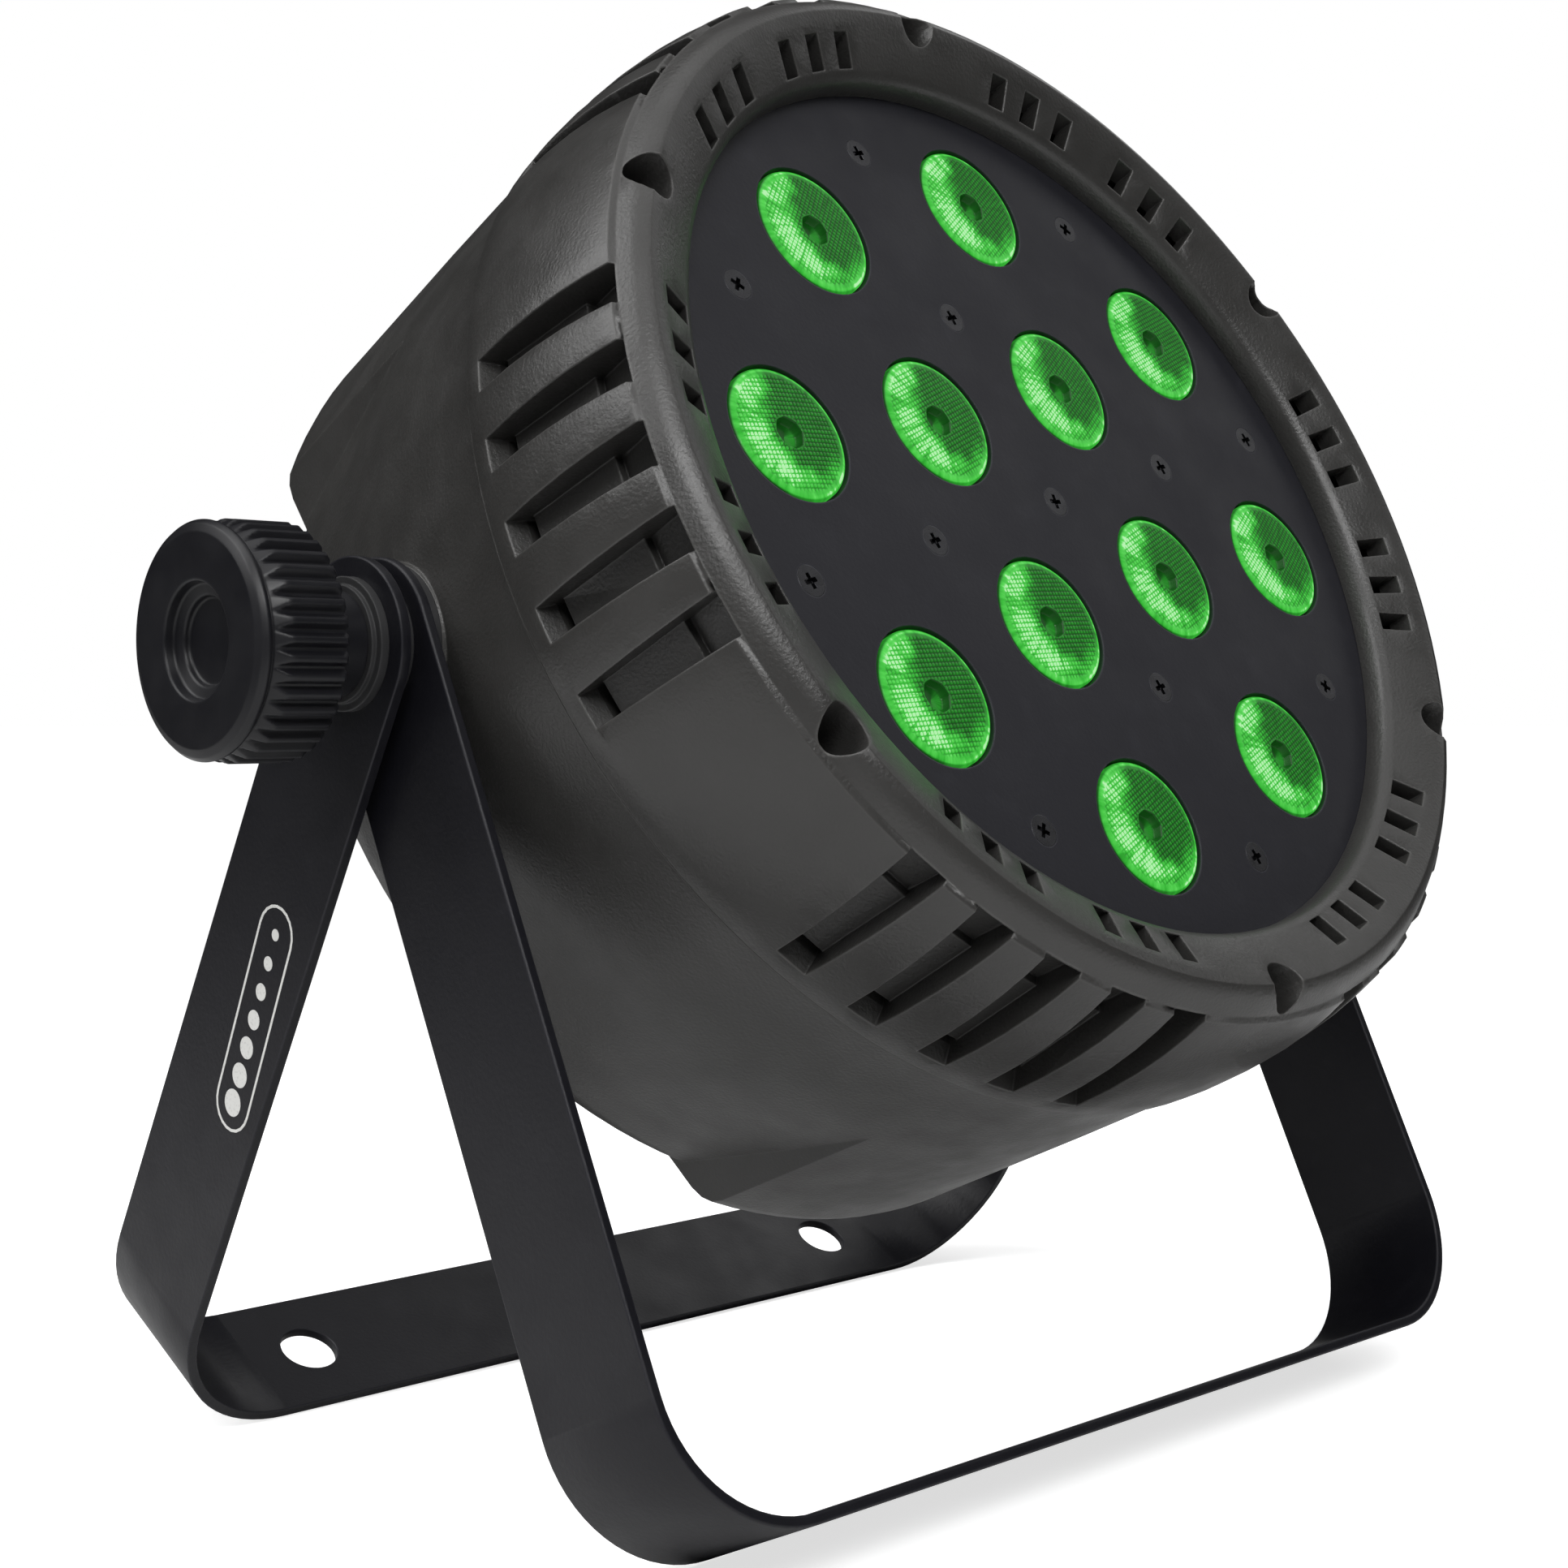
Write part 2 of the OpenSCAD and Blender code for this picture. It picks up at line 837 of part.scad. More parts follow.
module psu_corners() {
    for (x = [-1, 1], y = [-1, 1])
        translate([x * psu_post[0], y * psu_post[1], 0])
            children();
}

module psu_board() {
    color("#2f6b3a")
        head_frame()
            difference() {
                block(psu_board, [0, 0], psu_z);
                psu_corners()
                    translate([0, 0, psu_z - 1])
                        cylinder(r = m3_r, h = 4);
            }
}

module psu_parts() {
    top = psu_z + psu_board[2];
    color("#c9b56a")
        head_frame() {
            block([26, 22, 15], [-2, 4], top);
            block([18, 14, 12], [-40, 10], top);
            block([4, 40, 14], [36, 0], top);
            block([12, 8, 10], [-40, -16], top);
            for (x = [14, 27])
                translate([x, -22, top])
                    cylinder(r = 5, h = 14);
            translate([-14, -22, top])
                cylinder(r = 4, h = 11);
        }
}

module control_corners() {
    for (x = [-1, 1], y = [-1, 1])
        translate([control_pos[0] + x * control_post[0], control_pos[1] + y * control_post[1], 0])
            children();
}

module board_posts() {
    color("#c8b070")
        head_frame() {
            psu_corners()
                translate([0, 0, panel_front_z])
                    cylinder(r = 3, h = psu_z - panel_front_z);
            control_corners()
                translate([0, 0, panel_front_z])
                    cylinder(r = 2.4, h = control_board_z - panel_front_z);
        }
}

module board_screws() {
    color("#8a8a8e")
        head_frame() {
            psu_corners()
                translate([0, 0, psu_z + psu_board[2]])
                    cylinder(r = 2.8, h = 1.8);
            control_corners()
                translate([0, 0, control_board_z + control_board[2]])
                    cylinder(r = 2.4, h = 1.6);
        }
}

// ---------- Rear panel ----------

module menu_button_places() {
    for (i = [0 : 3])
        translate([(i - 1.5) * button_gap, button_y, 0])
            children();
}

module rear_panel() {
    color("#2a2a2c")
        head_frame()
            difference() {
                translate([0, 0, panel_back_z])
                    cylinder(r = panel_r, h = panel_t);
                translate([0, 0, panel_back_z - 1]) {
                    block([display_size[0], display_size[1], 4], [0, display_y], 0);
                    menu_button_places()
                        cylinder(r = button_r + 0.3, h = 4);
                    for (side = [-1, 1]) {
                        translate([side * xlr_pos[0], xlr_pos[1], 0])
                            cylinder(r = xlr_body_r + 0.2, h = 4);
                        block([power_body[0] + 0.4, power_body[1] + 0.4, 4],
                              [side * power_pos[0], power_pos[1]], 0);
                    }
                    block([7, 6, 4], [xlr_pos[0], xlr_pos[1] + 12.5], 0);
                    xlr_screw_places()
                        cylinder(r = m3_r, h = 4);
                    translate([fuse_pos[0], fuse_pos[1], 0])
                        cylinder(r = fuse_r + fit_gap, h = 4);
                    translate([eye_pos[0], eye_pos[1], 0])
                        cylinder(r = eye_stem_r, h = 4);
                    ring_copies(panel_screw_ring_r, 15, 8, 45)
                        cylinder(r = m3_r, h = 4);
                }
            }
}

module rear_panel_screws() {
    color("#8a8a8e")
        head_frame()
            ring_copies(panel_screw_ring_r, 15, 8, 45) {
                translate([0, 0, panel_back_z])
                    cylinder(r = m3_r, h = 6.4);
                translate([0, 0, panel_back_z - 1.8])
                    difference() {
                        cylinder(r = 2.8, h = 1.8);
                        rotate([180, 0, 0])
                            cross_recess(0, 1.6);
                    }
            }
}

module control_board() {
    color("#1f5a8a")
        head_frame()
            block(control_board, control_pos, control_board_z);
}

module display_block() {
    color("#101012")
        head_frame()
            block([display_size[0] + 4, display_size[1] + 4, control_board_z - panel_front_z - 0.2],
                  [0, display_y], panel_front_z + 0.2);
}

module display_window() {
    color("#2a0d0d")
        head_frame()
            block([display_size[0], display_size[1], panel_t + 0.6], [0, display_y], panel_back_z - 0.5);
}

module tact_switches() {
    color("#9a9a9e")
        head_frame()
            menu_button_places()
                translate([0, 0, control_board_z - 3]) {
                    translate([-3, -3, 0.8])
                        cube([6, 6, 2.2]);
                    cylinder(r = 1.7, h = 2);
                }
}

module menu_button(index) {
    color("#2c2c2e")
        head_frame()
            translate([(index - 1.5) * button_gap, button_y, 0]) {
                translate([0, 0, panel_back_z - 1.8])
                    cylinder(r = button_r, h = 6.5);
                translate([0, 0, panel_front_z + 0.1])
                    cylinder(r = button_r + 1, h = 1);
            }
}

module xlr_screw_places() {
    for (side = [-1, 1], corner = [-1, 1])
        translate([side * xlr_pos[0] + corner * xlr_screw[0], xlr_pos[1] - corner * xlr_screw[1], 0])
            children();
}

// Flanged round connector body with its back pins, common to both signal sockets.
module xlr_shell() {
    translate([0, 0, panel_back_z - xlr_flange[2]])
        difference() {
            block(xlr_flange, [0, 0], 0);
            for (corner = [-1, 1])
                translate([corner * xlr_screw[0], -corner * xlr_screw[1], -1])
                    cylinder(r = m3_r, h = 4);
        }
    translate([0, 0, panel_back_z])
        cylinder(r = xlr_body_r, h = 20);
}

module socket_screws() {
    color("#1c1c1e")
        head_frame()
            xlr_screw_places() {
                translate([0, 0, panel_back_z - xlr_flange[2]])
                    cylinder(r = m3_r, h = 8);
                translate([0, 0, panel_back_z - xlr_flange[2] - 1.4])
                    cylinder(r = 2.6, h = 1.4);
            }
}

module xlr_pins(r, z_low, h) {
    for (turn = [30, 150, 270])
        rotate([0, 0, turn])
            translate([3.8, 0, z_low])
                cylinder(r = r, h = h);
}

module dmx_input() {
    color("#38383b")
        head_frame()
            translate([-xlr_pos[0], xlr_pos[1], 0]) {
                difference() {
                    xlr_shell();
                    translate([0, 0, panel_back_z - 5])
                        cylinder(r = 9.4, h = 19);
                }
                xlr_pins(1.2, panel_back_z - 0.5, 15);
            }
}

module dmx_output() {
    color("#38383b")
        head_frame()
            translate([xlr_pos[0], xlr_pos[1], 0])
                difference() {
                    xlr_shell();
                    difference() {
                        translate([0, 0, panel_back_z - 5])
                            cylinder(r = 9.6, h = 19);
                        translate([0, 0, panel_back_z - 6])
                            cylinder(r = 7.8, h = 21);
                    }
                    xlr_pins(1.3, panel_back_z - 5, 14);
                    translate([-3.2, 10, panel_back_z - 5])
                        cube([6.4, 4.6, 12]);
                }
}

module dmx_latch() {
    color("#b4b4b8")
        head_frame()
            translate([xlr_pos[0], xlr_pos[1], 0])
                translate([-3, 10.2, panel_back_z - 3.6])
                    cube([6, 4.2, 8]);
}

module power_shell() {
    block(power_flange, [0, 0], panel_back_z - power_flange[2]);
    block(power_body, [0, 0], panel_back_z);
    for (x = [-7, 0, 7])
        block([4.8, 0.8, 7], [x, x == 0 ? 4 : -3], panel_back_z + power_body[2]);
}

module power_inlet() {
    color("#141416")
        head_frame()
            translate([-power_pos[0], power_pos[1], 0]) {
                difference() {
                    power_shell();
                    block([24, 16.5, 19], [0, 0], panel_back_z - 4);
                }
                for (x = [-7, 0, 7])
                    block([2, 4, 16.5], [x, x == 0 ? 3 : -2], panel_back_z - 1);
            }
}

module power_outlet() {
    color("#141416")
        head_frame()
            translate([power_pos[0], power_pos[1], 0])
                difference() {
                    power_shell();
                    for (x = [-7, 0, 7])
                        block([2.4, 5, 18], [x, x == 0 ? 3 : -2], panel_back_z - 4);
                }
}

module fuse_holder() {
    color("#141416")
        head_frame()
            translate([fuse_pos[0], fuse_pos[1], 0])
                difference() {
                    union() {
                        translate([0, 0, panel_back_z - 1.6])
                            cylinder(r = 8, h = 1.6);
                        translate([0, 0, panel_back_z])
                            cylinder(r = fuse_r, h = 20);
                    }
                    translate([0, 0, panel_back_z - 3])
                        cylinder(r = fuse_bore_r, h = 20);
                }
}

module fuse_cap() {
    color("#2c2c2e")
        head_frame()
            translate([fuse_pos[0], fuse_pos[1], 0])
                difference() {
                    union() {
                        translate([0, 0, panel_back_z - 5.1])
                            cylinder(r = 6.4, h = 3.4);
                        translate([0, 0, panel_back_z - 2])
                            cylinder(r = fuse_bore_r - fit_gap, h = 17);
                    }
                    translate([-7, -0.6, panel_back_z - 6])
                        cube([14, 1.2, 1.9]);
                }
}

module safety_eye() {
    loop_r = 8;
    wire_r = 2;
    color("#a8a8ac")
        head_frame()
            translate([eye_pos[0], eye_pos[1], 0]) {
                translate([0, 0, panel_back_z - 1.5])
                    cylinder(r = 5.2, h = 1.5);
                translate([0, 0, panel_back_z - 4.5])
                    cylinder(r = eye_stem_r, h = 12);
                translate([0, 0, panel_back_z - 4 - loop_r])
                    rotate([0, 90, 0])
                        rotate_extrude()
                            translate([loop_r, 0])
                                circle(r = wire_r);
                translate([0, 0, panel_front_z])
                    cylinder(r = 4.4, h = 3.2);
            }
}

// ---------- Nodes ----------

front_yoke();
rear_yoke();
boss_washers();
yoke_washers();
knob_washers();
stud(-1);  // left_stud
knob(-1);  // left_knob
stud(1);  // right_stud
knob(1);  // right_knob
pivot_inserts();
front_housing();
rear_housing();
bezel_screws();
face_plate();
face_screws();
lens(0);  // lens_01
lens(1);  // lens_02
lens(2);  // lens_03
lens(3);  // lens_04
lens(4);  // lens_05
lens(5);  // lens_06
lens(6);  // lens_07
lens(7);  // lens_08
lens(8);  // lens_09
lens(9);  // lens_10
lens(10);  // lens_11
lens(11);  // lens_12
lens_holders();
led_board();
led_emitters();
plate_spacers();
heatsink();
fan_frame();
fan_rotor();
fan_screws();
psu_board();
psu_parts();
board_posts();
board_screws();
rear_panel();
rear_panel_screws();
control_board();
display_block();
display_window();
tact_switches();
menu_button(0);  // menu_button_1
menu_button(1);  // menu_button_2
menu_button(2);  // menu_button_3
menu_button(3);  // menu_button_4
dmx_input();
dmx_output();
dmx_latch();
socket_screws();
power_inlet();
power_outlet();
fuse_holder();
fuse_cap();
safety_eye();
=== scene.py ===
"""Looks of the par can light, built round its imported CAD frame. Metres, in the frame's own axes."""
import json
import math

import bmesh
import bpy
from mathutils import Matrix, Vector


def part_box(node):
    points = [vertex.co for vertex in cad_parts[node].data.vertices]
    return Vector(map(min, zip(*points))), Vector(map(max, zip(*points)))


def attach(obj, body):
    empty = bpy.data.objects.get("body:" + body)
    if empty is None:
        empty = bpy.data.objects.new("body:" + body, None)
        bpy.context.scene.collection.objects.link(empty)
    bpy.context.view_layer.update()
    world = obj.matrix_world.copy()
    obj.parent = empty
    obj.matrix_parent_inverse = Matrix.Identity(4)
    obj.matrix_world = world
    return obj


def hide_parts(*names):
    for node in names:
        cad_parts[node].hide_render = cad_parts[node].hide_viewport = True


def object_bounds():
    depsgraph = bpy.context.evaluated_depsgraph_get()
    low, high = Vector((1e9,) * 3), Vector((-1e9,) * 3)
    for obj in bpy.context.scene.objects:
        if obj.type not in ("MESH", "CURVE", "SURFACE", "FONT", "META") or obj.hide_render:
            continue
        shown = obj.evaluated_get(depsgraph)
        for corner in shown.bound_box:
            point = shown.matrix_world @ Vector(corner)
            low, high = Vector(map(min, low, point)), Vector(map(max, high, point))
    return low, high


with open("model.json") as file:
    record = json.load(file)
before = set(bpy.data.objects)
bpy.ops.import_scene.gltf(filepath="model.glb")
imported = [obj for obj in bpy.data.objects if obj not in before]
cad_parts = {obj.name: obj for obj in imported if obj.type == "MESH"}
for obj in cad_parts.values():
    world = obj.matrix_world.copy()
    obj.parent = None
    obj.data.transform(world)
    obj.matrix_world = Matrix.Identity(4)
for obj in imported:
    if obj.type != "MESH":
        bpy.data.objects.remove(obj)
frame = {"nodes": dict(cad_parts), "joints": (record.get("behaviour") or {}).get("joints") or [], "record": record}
cad_low, cad_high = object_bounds()

MM = 0.001
NODES = frame["nodes"]
JOINTS = {joint["name"]: joint for joint in frame["joints"]}


# ---------- Places taken from the frame ----------

def centre_of(node):
    low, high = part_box(node)
    return (low + high) / 2


PIVOT = Vector(JOINTS["head_tilt"]["pos_m"])
FORWARD = (centre_of("face_plate") - centre_of("fan_frame")).normalized()
RIGHT = Vector((1, 0, 0))
UP_FACE = FORWARD.cross(RIGHT).normalized()
HEAD = Matrix((RIGHT, UP_FACE, FORWARD)).transposed().to_4x4()
HEAD.translation = PIVOT
HEAD_INVERSE = HEAD.inverted()


def local_box(node):
    """Lowest and highest corner of a CAD node in the head's own axes: x right, y up the face, z forwards."""
    points = [HEAD_INVERSE @ vertex.co for vertex in NODES[node].data.vertices]
    low = Vector(min(point[axis] for point in points) for axis in range(3))
    high = Vector(max(point[axis] for point in points) for axis in range(3))
    return low, high


LENS_RADIUS = (local_box("lens_01")[1].x - local_box("lens_01")[0].x) / 2
BEAD_PITCH = 0.88 * MM
CELLS_PER_BEAD = 4
LATTICE = BEAD_PITCH / CELLS_PER_BEAD
BEAD_HEIGHT = 0.16 * MM
# Height that stands for a flat surface, as a share of a bead's own height
BEAD_MEAN = 0.75
DOME_HEIGHT = 0.55 * MM
LENS_PROUD = 0.2 * MM
LENS_BACK_GAP = 0.2 * MM
LENS_RIM = 0.5 * MM
# Radius of the dimple in the middle, as a share of the lens radius
LENS_DIMPLE = 0.25
# How far each lens happens to be turned in its holder, in degrees
LENS_TURNS = (53, 37, 23, 37, 23, 23, 3, 3, 23, 37, 23, 3)


# ---------- Materials ----------

class Shade:
    """One node material: a Principled surface and the nodes that feed it."""

    def __init__(self, name, colour, **sockets):
        self.material = bpy.data.materials.new(name)
        self.material.use_nodes = True
        self.tree = self.material.node_tree
        self.surface = self.tree.nodes["Principled BSDF"]
        self.surface.inputs["Base Color"].default_value = (*colour, 1)
        for socket, value in sockets.items():
            self.surface.inputs[socket.replace("_", " ").title()].default_value = value
        self.place = self.add("ShaderNodeTexCoord").outputs["Object"]

    def add(self, kind, **inputs):
        node = self.tree.nodes.new(kind)
        for socket, value in inputs.items():
            self.feed(node, socket.replace("_", " ").title(), value)
        return node

    def feed(self, node, socket, value):
        target = node.inputs[socket]
        if isinstance(value, bpy.types.NodeSocket):
            self.tree.links.new(value, target)
        else:
            target.default_value = value

    def maths(self, operation, *values):
        node = self.tree.nodes.new("ShaderNodeMath")
        node.operation = operation
        for index, value in enumerate(values):
            self.feed(node, index, value)
        return node.outputs["Value"]

    def noise(self, size, detail=3.0, place=None):
        """Noise whose grains are about size metres across."""
        node = self.add("ShaderNodeTexNoise", vector=place or self.place, scale=1 / size, detail=detail)
        return node.outputs["Fac"]

    def spread(self, value, low, high, to_low=0.0, to_high=1.0, kind="LINEAR"):
        node = self.tree.nodes.new("ShaderNodeMapRange")
        node.interpolation_type = kind
        for socket, number in zip(("Value", "From Min", "From Max", "To Min", "To Max"),
                                  (value, low, high, to_low, to_high)):
            self.feed(node, socket, number)
        return node.outputs["Result"]

    def soft(self, value, low, high):
        return self.spread(value, low, high, kind="SMOOTHSTEP")

    def blend(self, share, first, second):
        """Mix of two colours or colour sockets."""
        node = self.tree.nodes.new("ShaderNodeMix")
        node.data_type = "RGBA"
        for socket, value in zip((0, 6, 7), (share, first, second)):
            if isinstance(value, tuple) and len(value) == 3:
                value = (*value, 1)
            self.feed(node, socket, value)
        return node.outputs[2]

    def ramp(self, value, stops):
        """Colour ramp from (position, colour) stops."""
        node = self.add("ShaderNodeValToRGB", fac=value)
        elements = node.color_ramp.elements
        while len(elements) < len(stops):
            elements.new(1.0)
        for element, (position, colour) in zip(elements, stops):
            element.position = position
            element.color = (*colour, 1)
        return node.outputs["Color"]

    def edges(self, radius):
        """0 on open surfaces, rising to 1 along outside and inside edges."""
        rounded = self.add("ShaderNodeBevel", radius=radius)
        rounded.samples = 4
        flat = self.tree.nodes.new("ShaderNodeNewGeometry")
        dot = self.tree.nodes.new("ShaderNodeVectorMath")
        dot.operation = "DOT_PRODUCT"
        self.feed(dot, 0, rounded.outputs["Normal"])
        self.feed(dot, 1, flat.outputs["Normal"])
        return self.spread(dot.outputs["Value"], 0.995, 0.86)

    def crevices(self, reach):
        """1 on open surfaces, falling to 0 in grooves and corners narrower than reach."""
        hollow = self.add("ShaderNodeAmbientOcclusion", distance=reach)
        hollow.samples = 4
        hollow.only_local = True
        return self.soft(hollow.outputs["AO"], 0.25, 0.75)

    def bumps(self, *layers, rounding=None):
        """Stacks bump layers, each (height socket, distance), on a normal rounded at its edges."""
        normal = None
        if rounding:
            bevel = self.add("ShaderNodeBevel", radius=rounding)
            bevel.samples = 4
            normal = bevel.outputs["Normal"]
        for height, distance in layers:
            node = self.add("ShaderNodeBump", height=height, distance=distance, strength=1.0)
            if normal:
                self.feed(node, "Normal", normal)
            normal = node.outputs["Normal"]
        self.feed(self.surface, "Normal", normal)


def moulded(name, colour, grain=0.35 * MM, depth=0.02 * MM, roughness=0.5, edge=0.35, rounding=0.4 * MM,
             specular=0.5, groove=None):
    """Moulded plastic: a fine spark-eroded grain, faint handling marks, painted highlights along its edges and
    painted shade in its grooves.
    """
    shade = Shade(name, colour)
    shade.surface.inputs["Specular IOR Level"].default_value = specular
    pale = tuple(min(1, c * 2.2 + 0.01) for c in colour)
    patches = shade.noise(38 * MM, detail=5)
    # Painted highlight: edges turned paler, as if they caught the light
    edge_highlight = shade.maths("MULTIPLY", shade.edges(0.7 * MM), edge)
    tone = shade.maths("ADD", edge_highlight, shade.spread(patches, 0.35, 0.75, 0.0, 0.16))
    coloured = shade.blend(tone, colour, pale)
    if groove:
        # Painted shade: grooves and corners darkened by ambient occlusion
        crevice_shade = tuple(c * 0.15 for c in colour)
        coloured = shade.blend(shade.crevices(groove), crevice_shade, coloured)
    shade.feed(shade.surface, "Base Color", coloured)
    grain_height = shade.noise(grain, detail=4)
    shade.feed(shade.surface, "Roughness",
               shade.spread(shade.noise(9 * MM, detail=6), 0.3, 0.7, roughness - 0.05, roughness + 0.07))
    shade.bumps((grain_height, depth), rounding=rounding)
    return shade.material


def powder_coat(name, colour, roughness=0.42, edge=0.5, rounding=0.45 * MM, specular=0.3):
    """Powder coat on steel: a low orange peel, with paler edges as a painted edge highlight."""
    shade = Shade(name, colour)
    shade.surface.inputs["Specular IOR Level"].default_value = specular
    pale = tuple(min(1, c * 3.0 + 0.012) for c in colour)
    # Painted highlight: edges turned paler, as if they caught the light
    edge_highlight = shade.maths("MULTIPLY", shade.edges(0.6 * MM), edge)
    scuffs = shade.spread(shade.noise(6 * MM, detail=8), 0.56, 0.78, 0.0, 0.10)
    shade.feed(shade.surface, "Base Color", shade.blend(shade.maths("ADD", edge_highlight, scuffs), colour, pale))
    shade.feed(shade.surface, "Roughness",
               shade.spread(shade.noise(14 * MM, detail=5), 0.3, 0.7, roughness - 0.06, roughness + 0.06))
    shade.bumps((shade.noise(0.9 * MM, detail=2), 0.035 * MM), rounding=rounding)
    return shade.material


def metal(name, colour, roughness=0.32, brushed=(1, 1, 12), rounding=0.15 * MM):
    """Plated or machined metal with fine tool lines and dulled patches."""
    shade = Shade(name, colour, metallic=1.0)
    stretch = shade.add("ShaderNodeMapping", vector=shade.place, scale=brushed)
    lines = shade.noise(0.5 * MM, detail=3, place=stretch.outputs["Vector"])
    dull = tuple(c * 0.62 for c in colour)
    shade.feed(shade.surface, "Base Color",
               shade.blend(shade.spread(shade.noise(3 * MM, detail=6), 0.45, 0.75, 0.0, 0.7), colour, dull))
    shade.feed(shade.surface, "Roughness", shade.spread(lines, 0.3, 0.7, roughness - 0.08, roughness + 0.12))
    shade.bumps((lines, 0.01 * MM), rounding=rounding)
    return shade.material


def board(name, colour):
    """Circuit board: solder mask over faint copper tracks."""
    shade = Shade(name, colour, roughness=0.35)
    tracks = shade.add("ShaderNodeTexBrick", vector=shade.place, scale=1 / (9 * MM))
    tracks.inputs["Mortar Size"].default_value = 0.03
    pale = tuple(min(1, c * 1.5 + 0.03) for c in colour)
    shade.feed(shade.surface, "Base Color", shade.blend(tracks.outputs["Fac"], colour, pale))
    shade.bumps((tracks.outputs["Fac"], 0.03 * MM), rounding=0.2 * MM)
    return shade.material


def print_white(name):
    """Screen-printed white ink: thin in places, so that the coat shows through a little."""
    ink, coat = (0.62, 0.62, 0.60), (0.12, 0.12, 0.12)
    shade = Shade(name, ink)
    thin = shade.spread(shade.noise(0.6 * MM, detail=4), 0.55, 0.75, 0.0, 0.35)
    shade.feed(shade.surface, "Base Color", shade.blend(thin, ink, coat))
    shade.feed(shade.surface, "Roughness", shade.spread(shade.noise(2 * MM), 0.3, 0.7, 0.45, 0.6))
    shade.bumps((shade.noise(0.4 * MM), 0.01 * MM))
    return shade.material


LENS_TINT = (0.003, 0.035, 0.004)
LENS_BASE_GLOW = 0.11
LENS_STRENGTH = 0.9
LENS_FIBRE = 0.10
LENS_GREENS = (
    (0.0, (0.002, 0.030, 0.002)),
    (0.10, (0.015, 0.17, 0.015)),
    (0.38, (0.035, 0.46, 0.035)),
    (0.80, (0.11, 0.72, 0.10)),
    (1.0, (0.50, 0.93, 0.47)),
)


def lit_lens(name):
    """Green lens with a painted glow: painted highlights and reflections towards its lower left, painted shade to
    the right, with dark bead lines.
    """
    shade = Shade(name, LENS_TINT, roughness=0.3)
    shade.surface.inputs["Specular IOR Level"].default_value = 0.2
    axes = shade.add("ShaderNodeSeparateXYZ", vector=shade.place)
    x, y = axes.outputs["X"], axes.outputs["Y"]
    squares = shade.maths("ADD", shade.maths("MULTIPLY", x, x), shade.maths("MULTIPLY", y, y))
    radius = shade.maths("SQRT", squares)
    share = shade.maths("DIVIDE", radius, LENS_RADIUS)

    def towards(degrees, low, high):
        """1 in the direction given, as seen from the lens centre, falling to 0 away from it."""
        angle = math.radians(degrees)
        along = shade.maths("ADD", shade.maths("MULTIPLY", x, math.cos(angle)),
                            shade.maths("MULTIPLY", y, math.sin(angle)))
        return shade.soft(shade.maths("DIVIDE", along, radius), low, high)

    def ring(low, peak_low, peak_high, high):
        """1 between two peak radii, as shares of the lens radius, falling to 0 outside them."""
        return shade.maths("MULTIPLY", shade.soft(share, low, peak_low), shade.soft(share, high, peak_high))

    # Painted highlights, reflections and glow: how bright, which side they lie on, and between which radii
    patches = [
        (0.36, towards(190, 0.0, 0.8), ring(0.22, 0.50, 0.92, 1.02)),
        (0.60, towards(208, 0.45, 0.98), ring(0.20, 0.55, 0.70, 0.92)),
        (0.50, towards(262, 0.78, 0.98), ring(0.46, 0.62, 0.68, 0.82)),
        (0.62, towards(124, 0.84, 0.985), ring(0.50, 0.72, 0.84, 0.98)),
        (0.34, towards(292, 0.55, 0.95), ring(0.60, 0.84, 1.0, 1.1)),
        (0.45, towards(30, -0.7, 0.3), ring(0.91, 0.95, 1.1, 1.2)),
        (0.32, towards(-35, -0.4, 0.9), ring(-1.0, -0.5, 0.16, 0.24)),
    ]
    painted_light_level = LENS_BASE_GLOW
    for amount, side, band in patches:
        patch = shade.maths("MULTIPLY", shade.maths("MULTIPLY", side, band), amount)
        painted_light_level = shade.maths("ADD", painted_light_level, patch)
    cloud = shade.spread(shade.noise(3.5 * MM, detail=3), 0.3, 0.7, 0.90, 1.10)
    # Fibres run outwards: the noise is read by direction, slowly changing with radius and from lens to lens
    lot = shade.maths("MULTIPLY", shade.add("ShaderNodeObjectInfo").outputs["Random"], 50.0)
    fibre_scale = shade.maths("MULTIPLY", radius, LENS_FIBRE)
    fan = shade.add("ShaderNodeCombineXYZ", x=shade.maths("DIVIDE", x, fibre_scale),
                    y=shade.maths("DIVIDE", y, fibre_scale),
                    z=shade.maths("ADD", shade.maths("MULTIPLY", share, 2.2), lot))
    fibres = shade.spread(shade.noise(1.0, detail=4, place=fan.outputs["Vector"]), 0.3, 0.7, 0.55, 1.45)
    # Painted shade: dark lines in the valleys between the beads, strongest where the painted light on the lens is
    # low
    crown = shade.add("ShaderNodeAttribute")
    crown.attribute_name = "bead"
    valley_shade = shade.spread(painted_light_level, 0.12, 0.60, 0.02, 0.50)
    lines = shade.spread(crown.outputs["Fac"], 0.15, 0.85, valley_shade, 1.25)
    broad = shade.maths("MULTIPLY", painted_light_level, cloud)
    fine = shade.maths("MULTIPLY", lines, fibres)
    light = shade.ramp(shade.maths("MULTIPLY", broad, fine), LENS_GREENS)
    shade.feed(shade.surface, "Emission Color", light)
    shade.surface.inputs["Emission Strength"].default_value = LENS_STRENGTH
    shade.bumps((shade.noise(0.5 * MM), 0.01 * MM))
    return shade.material


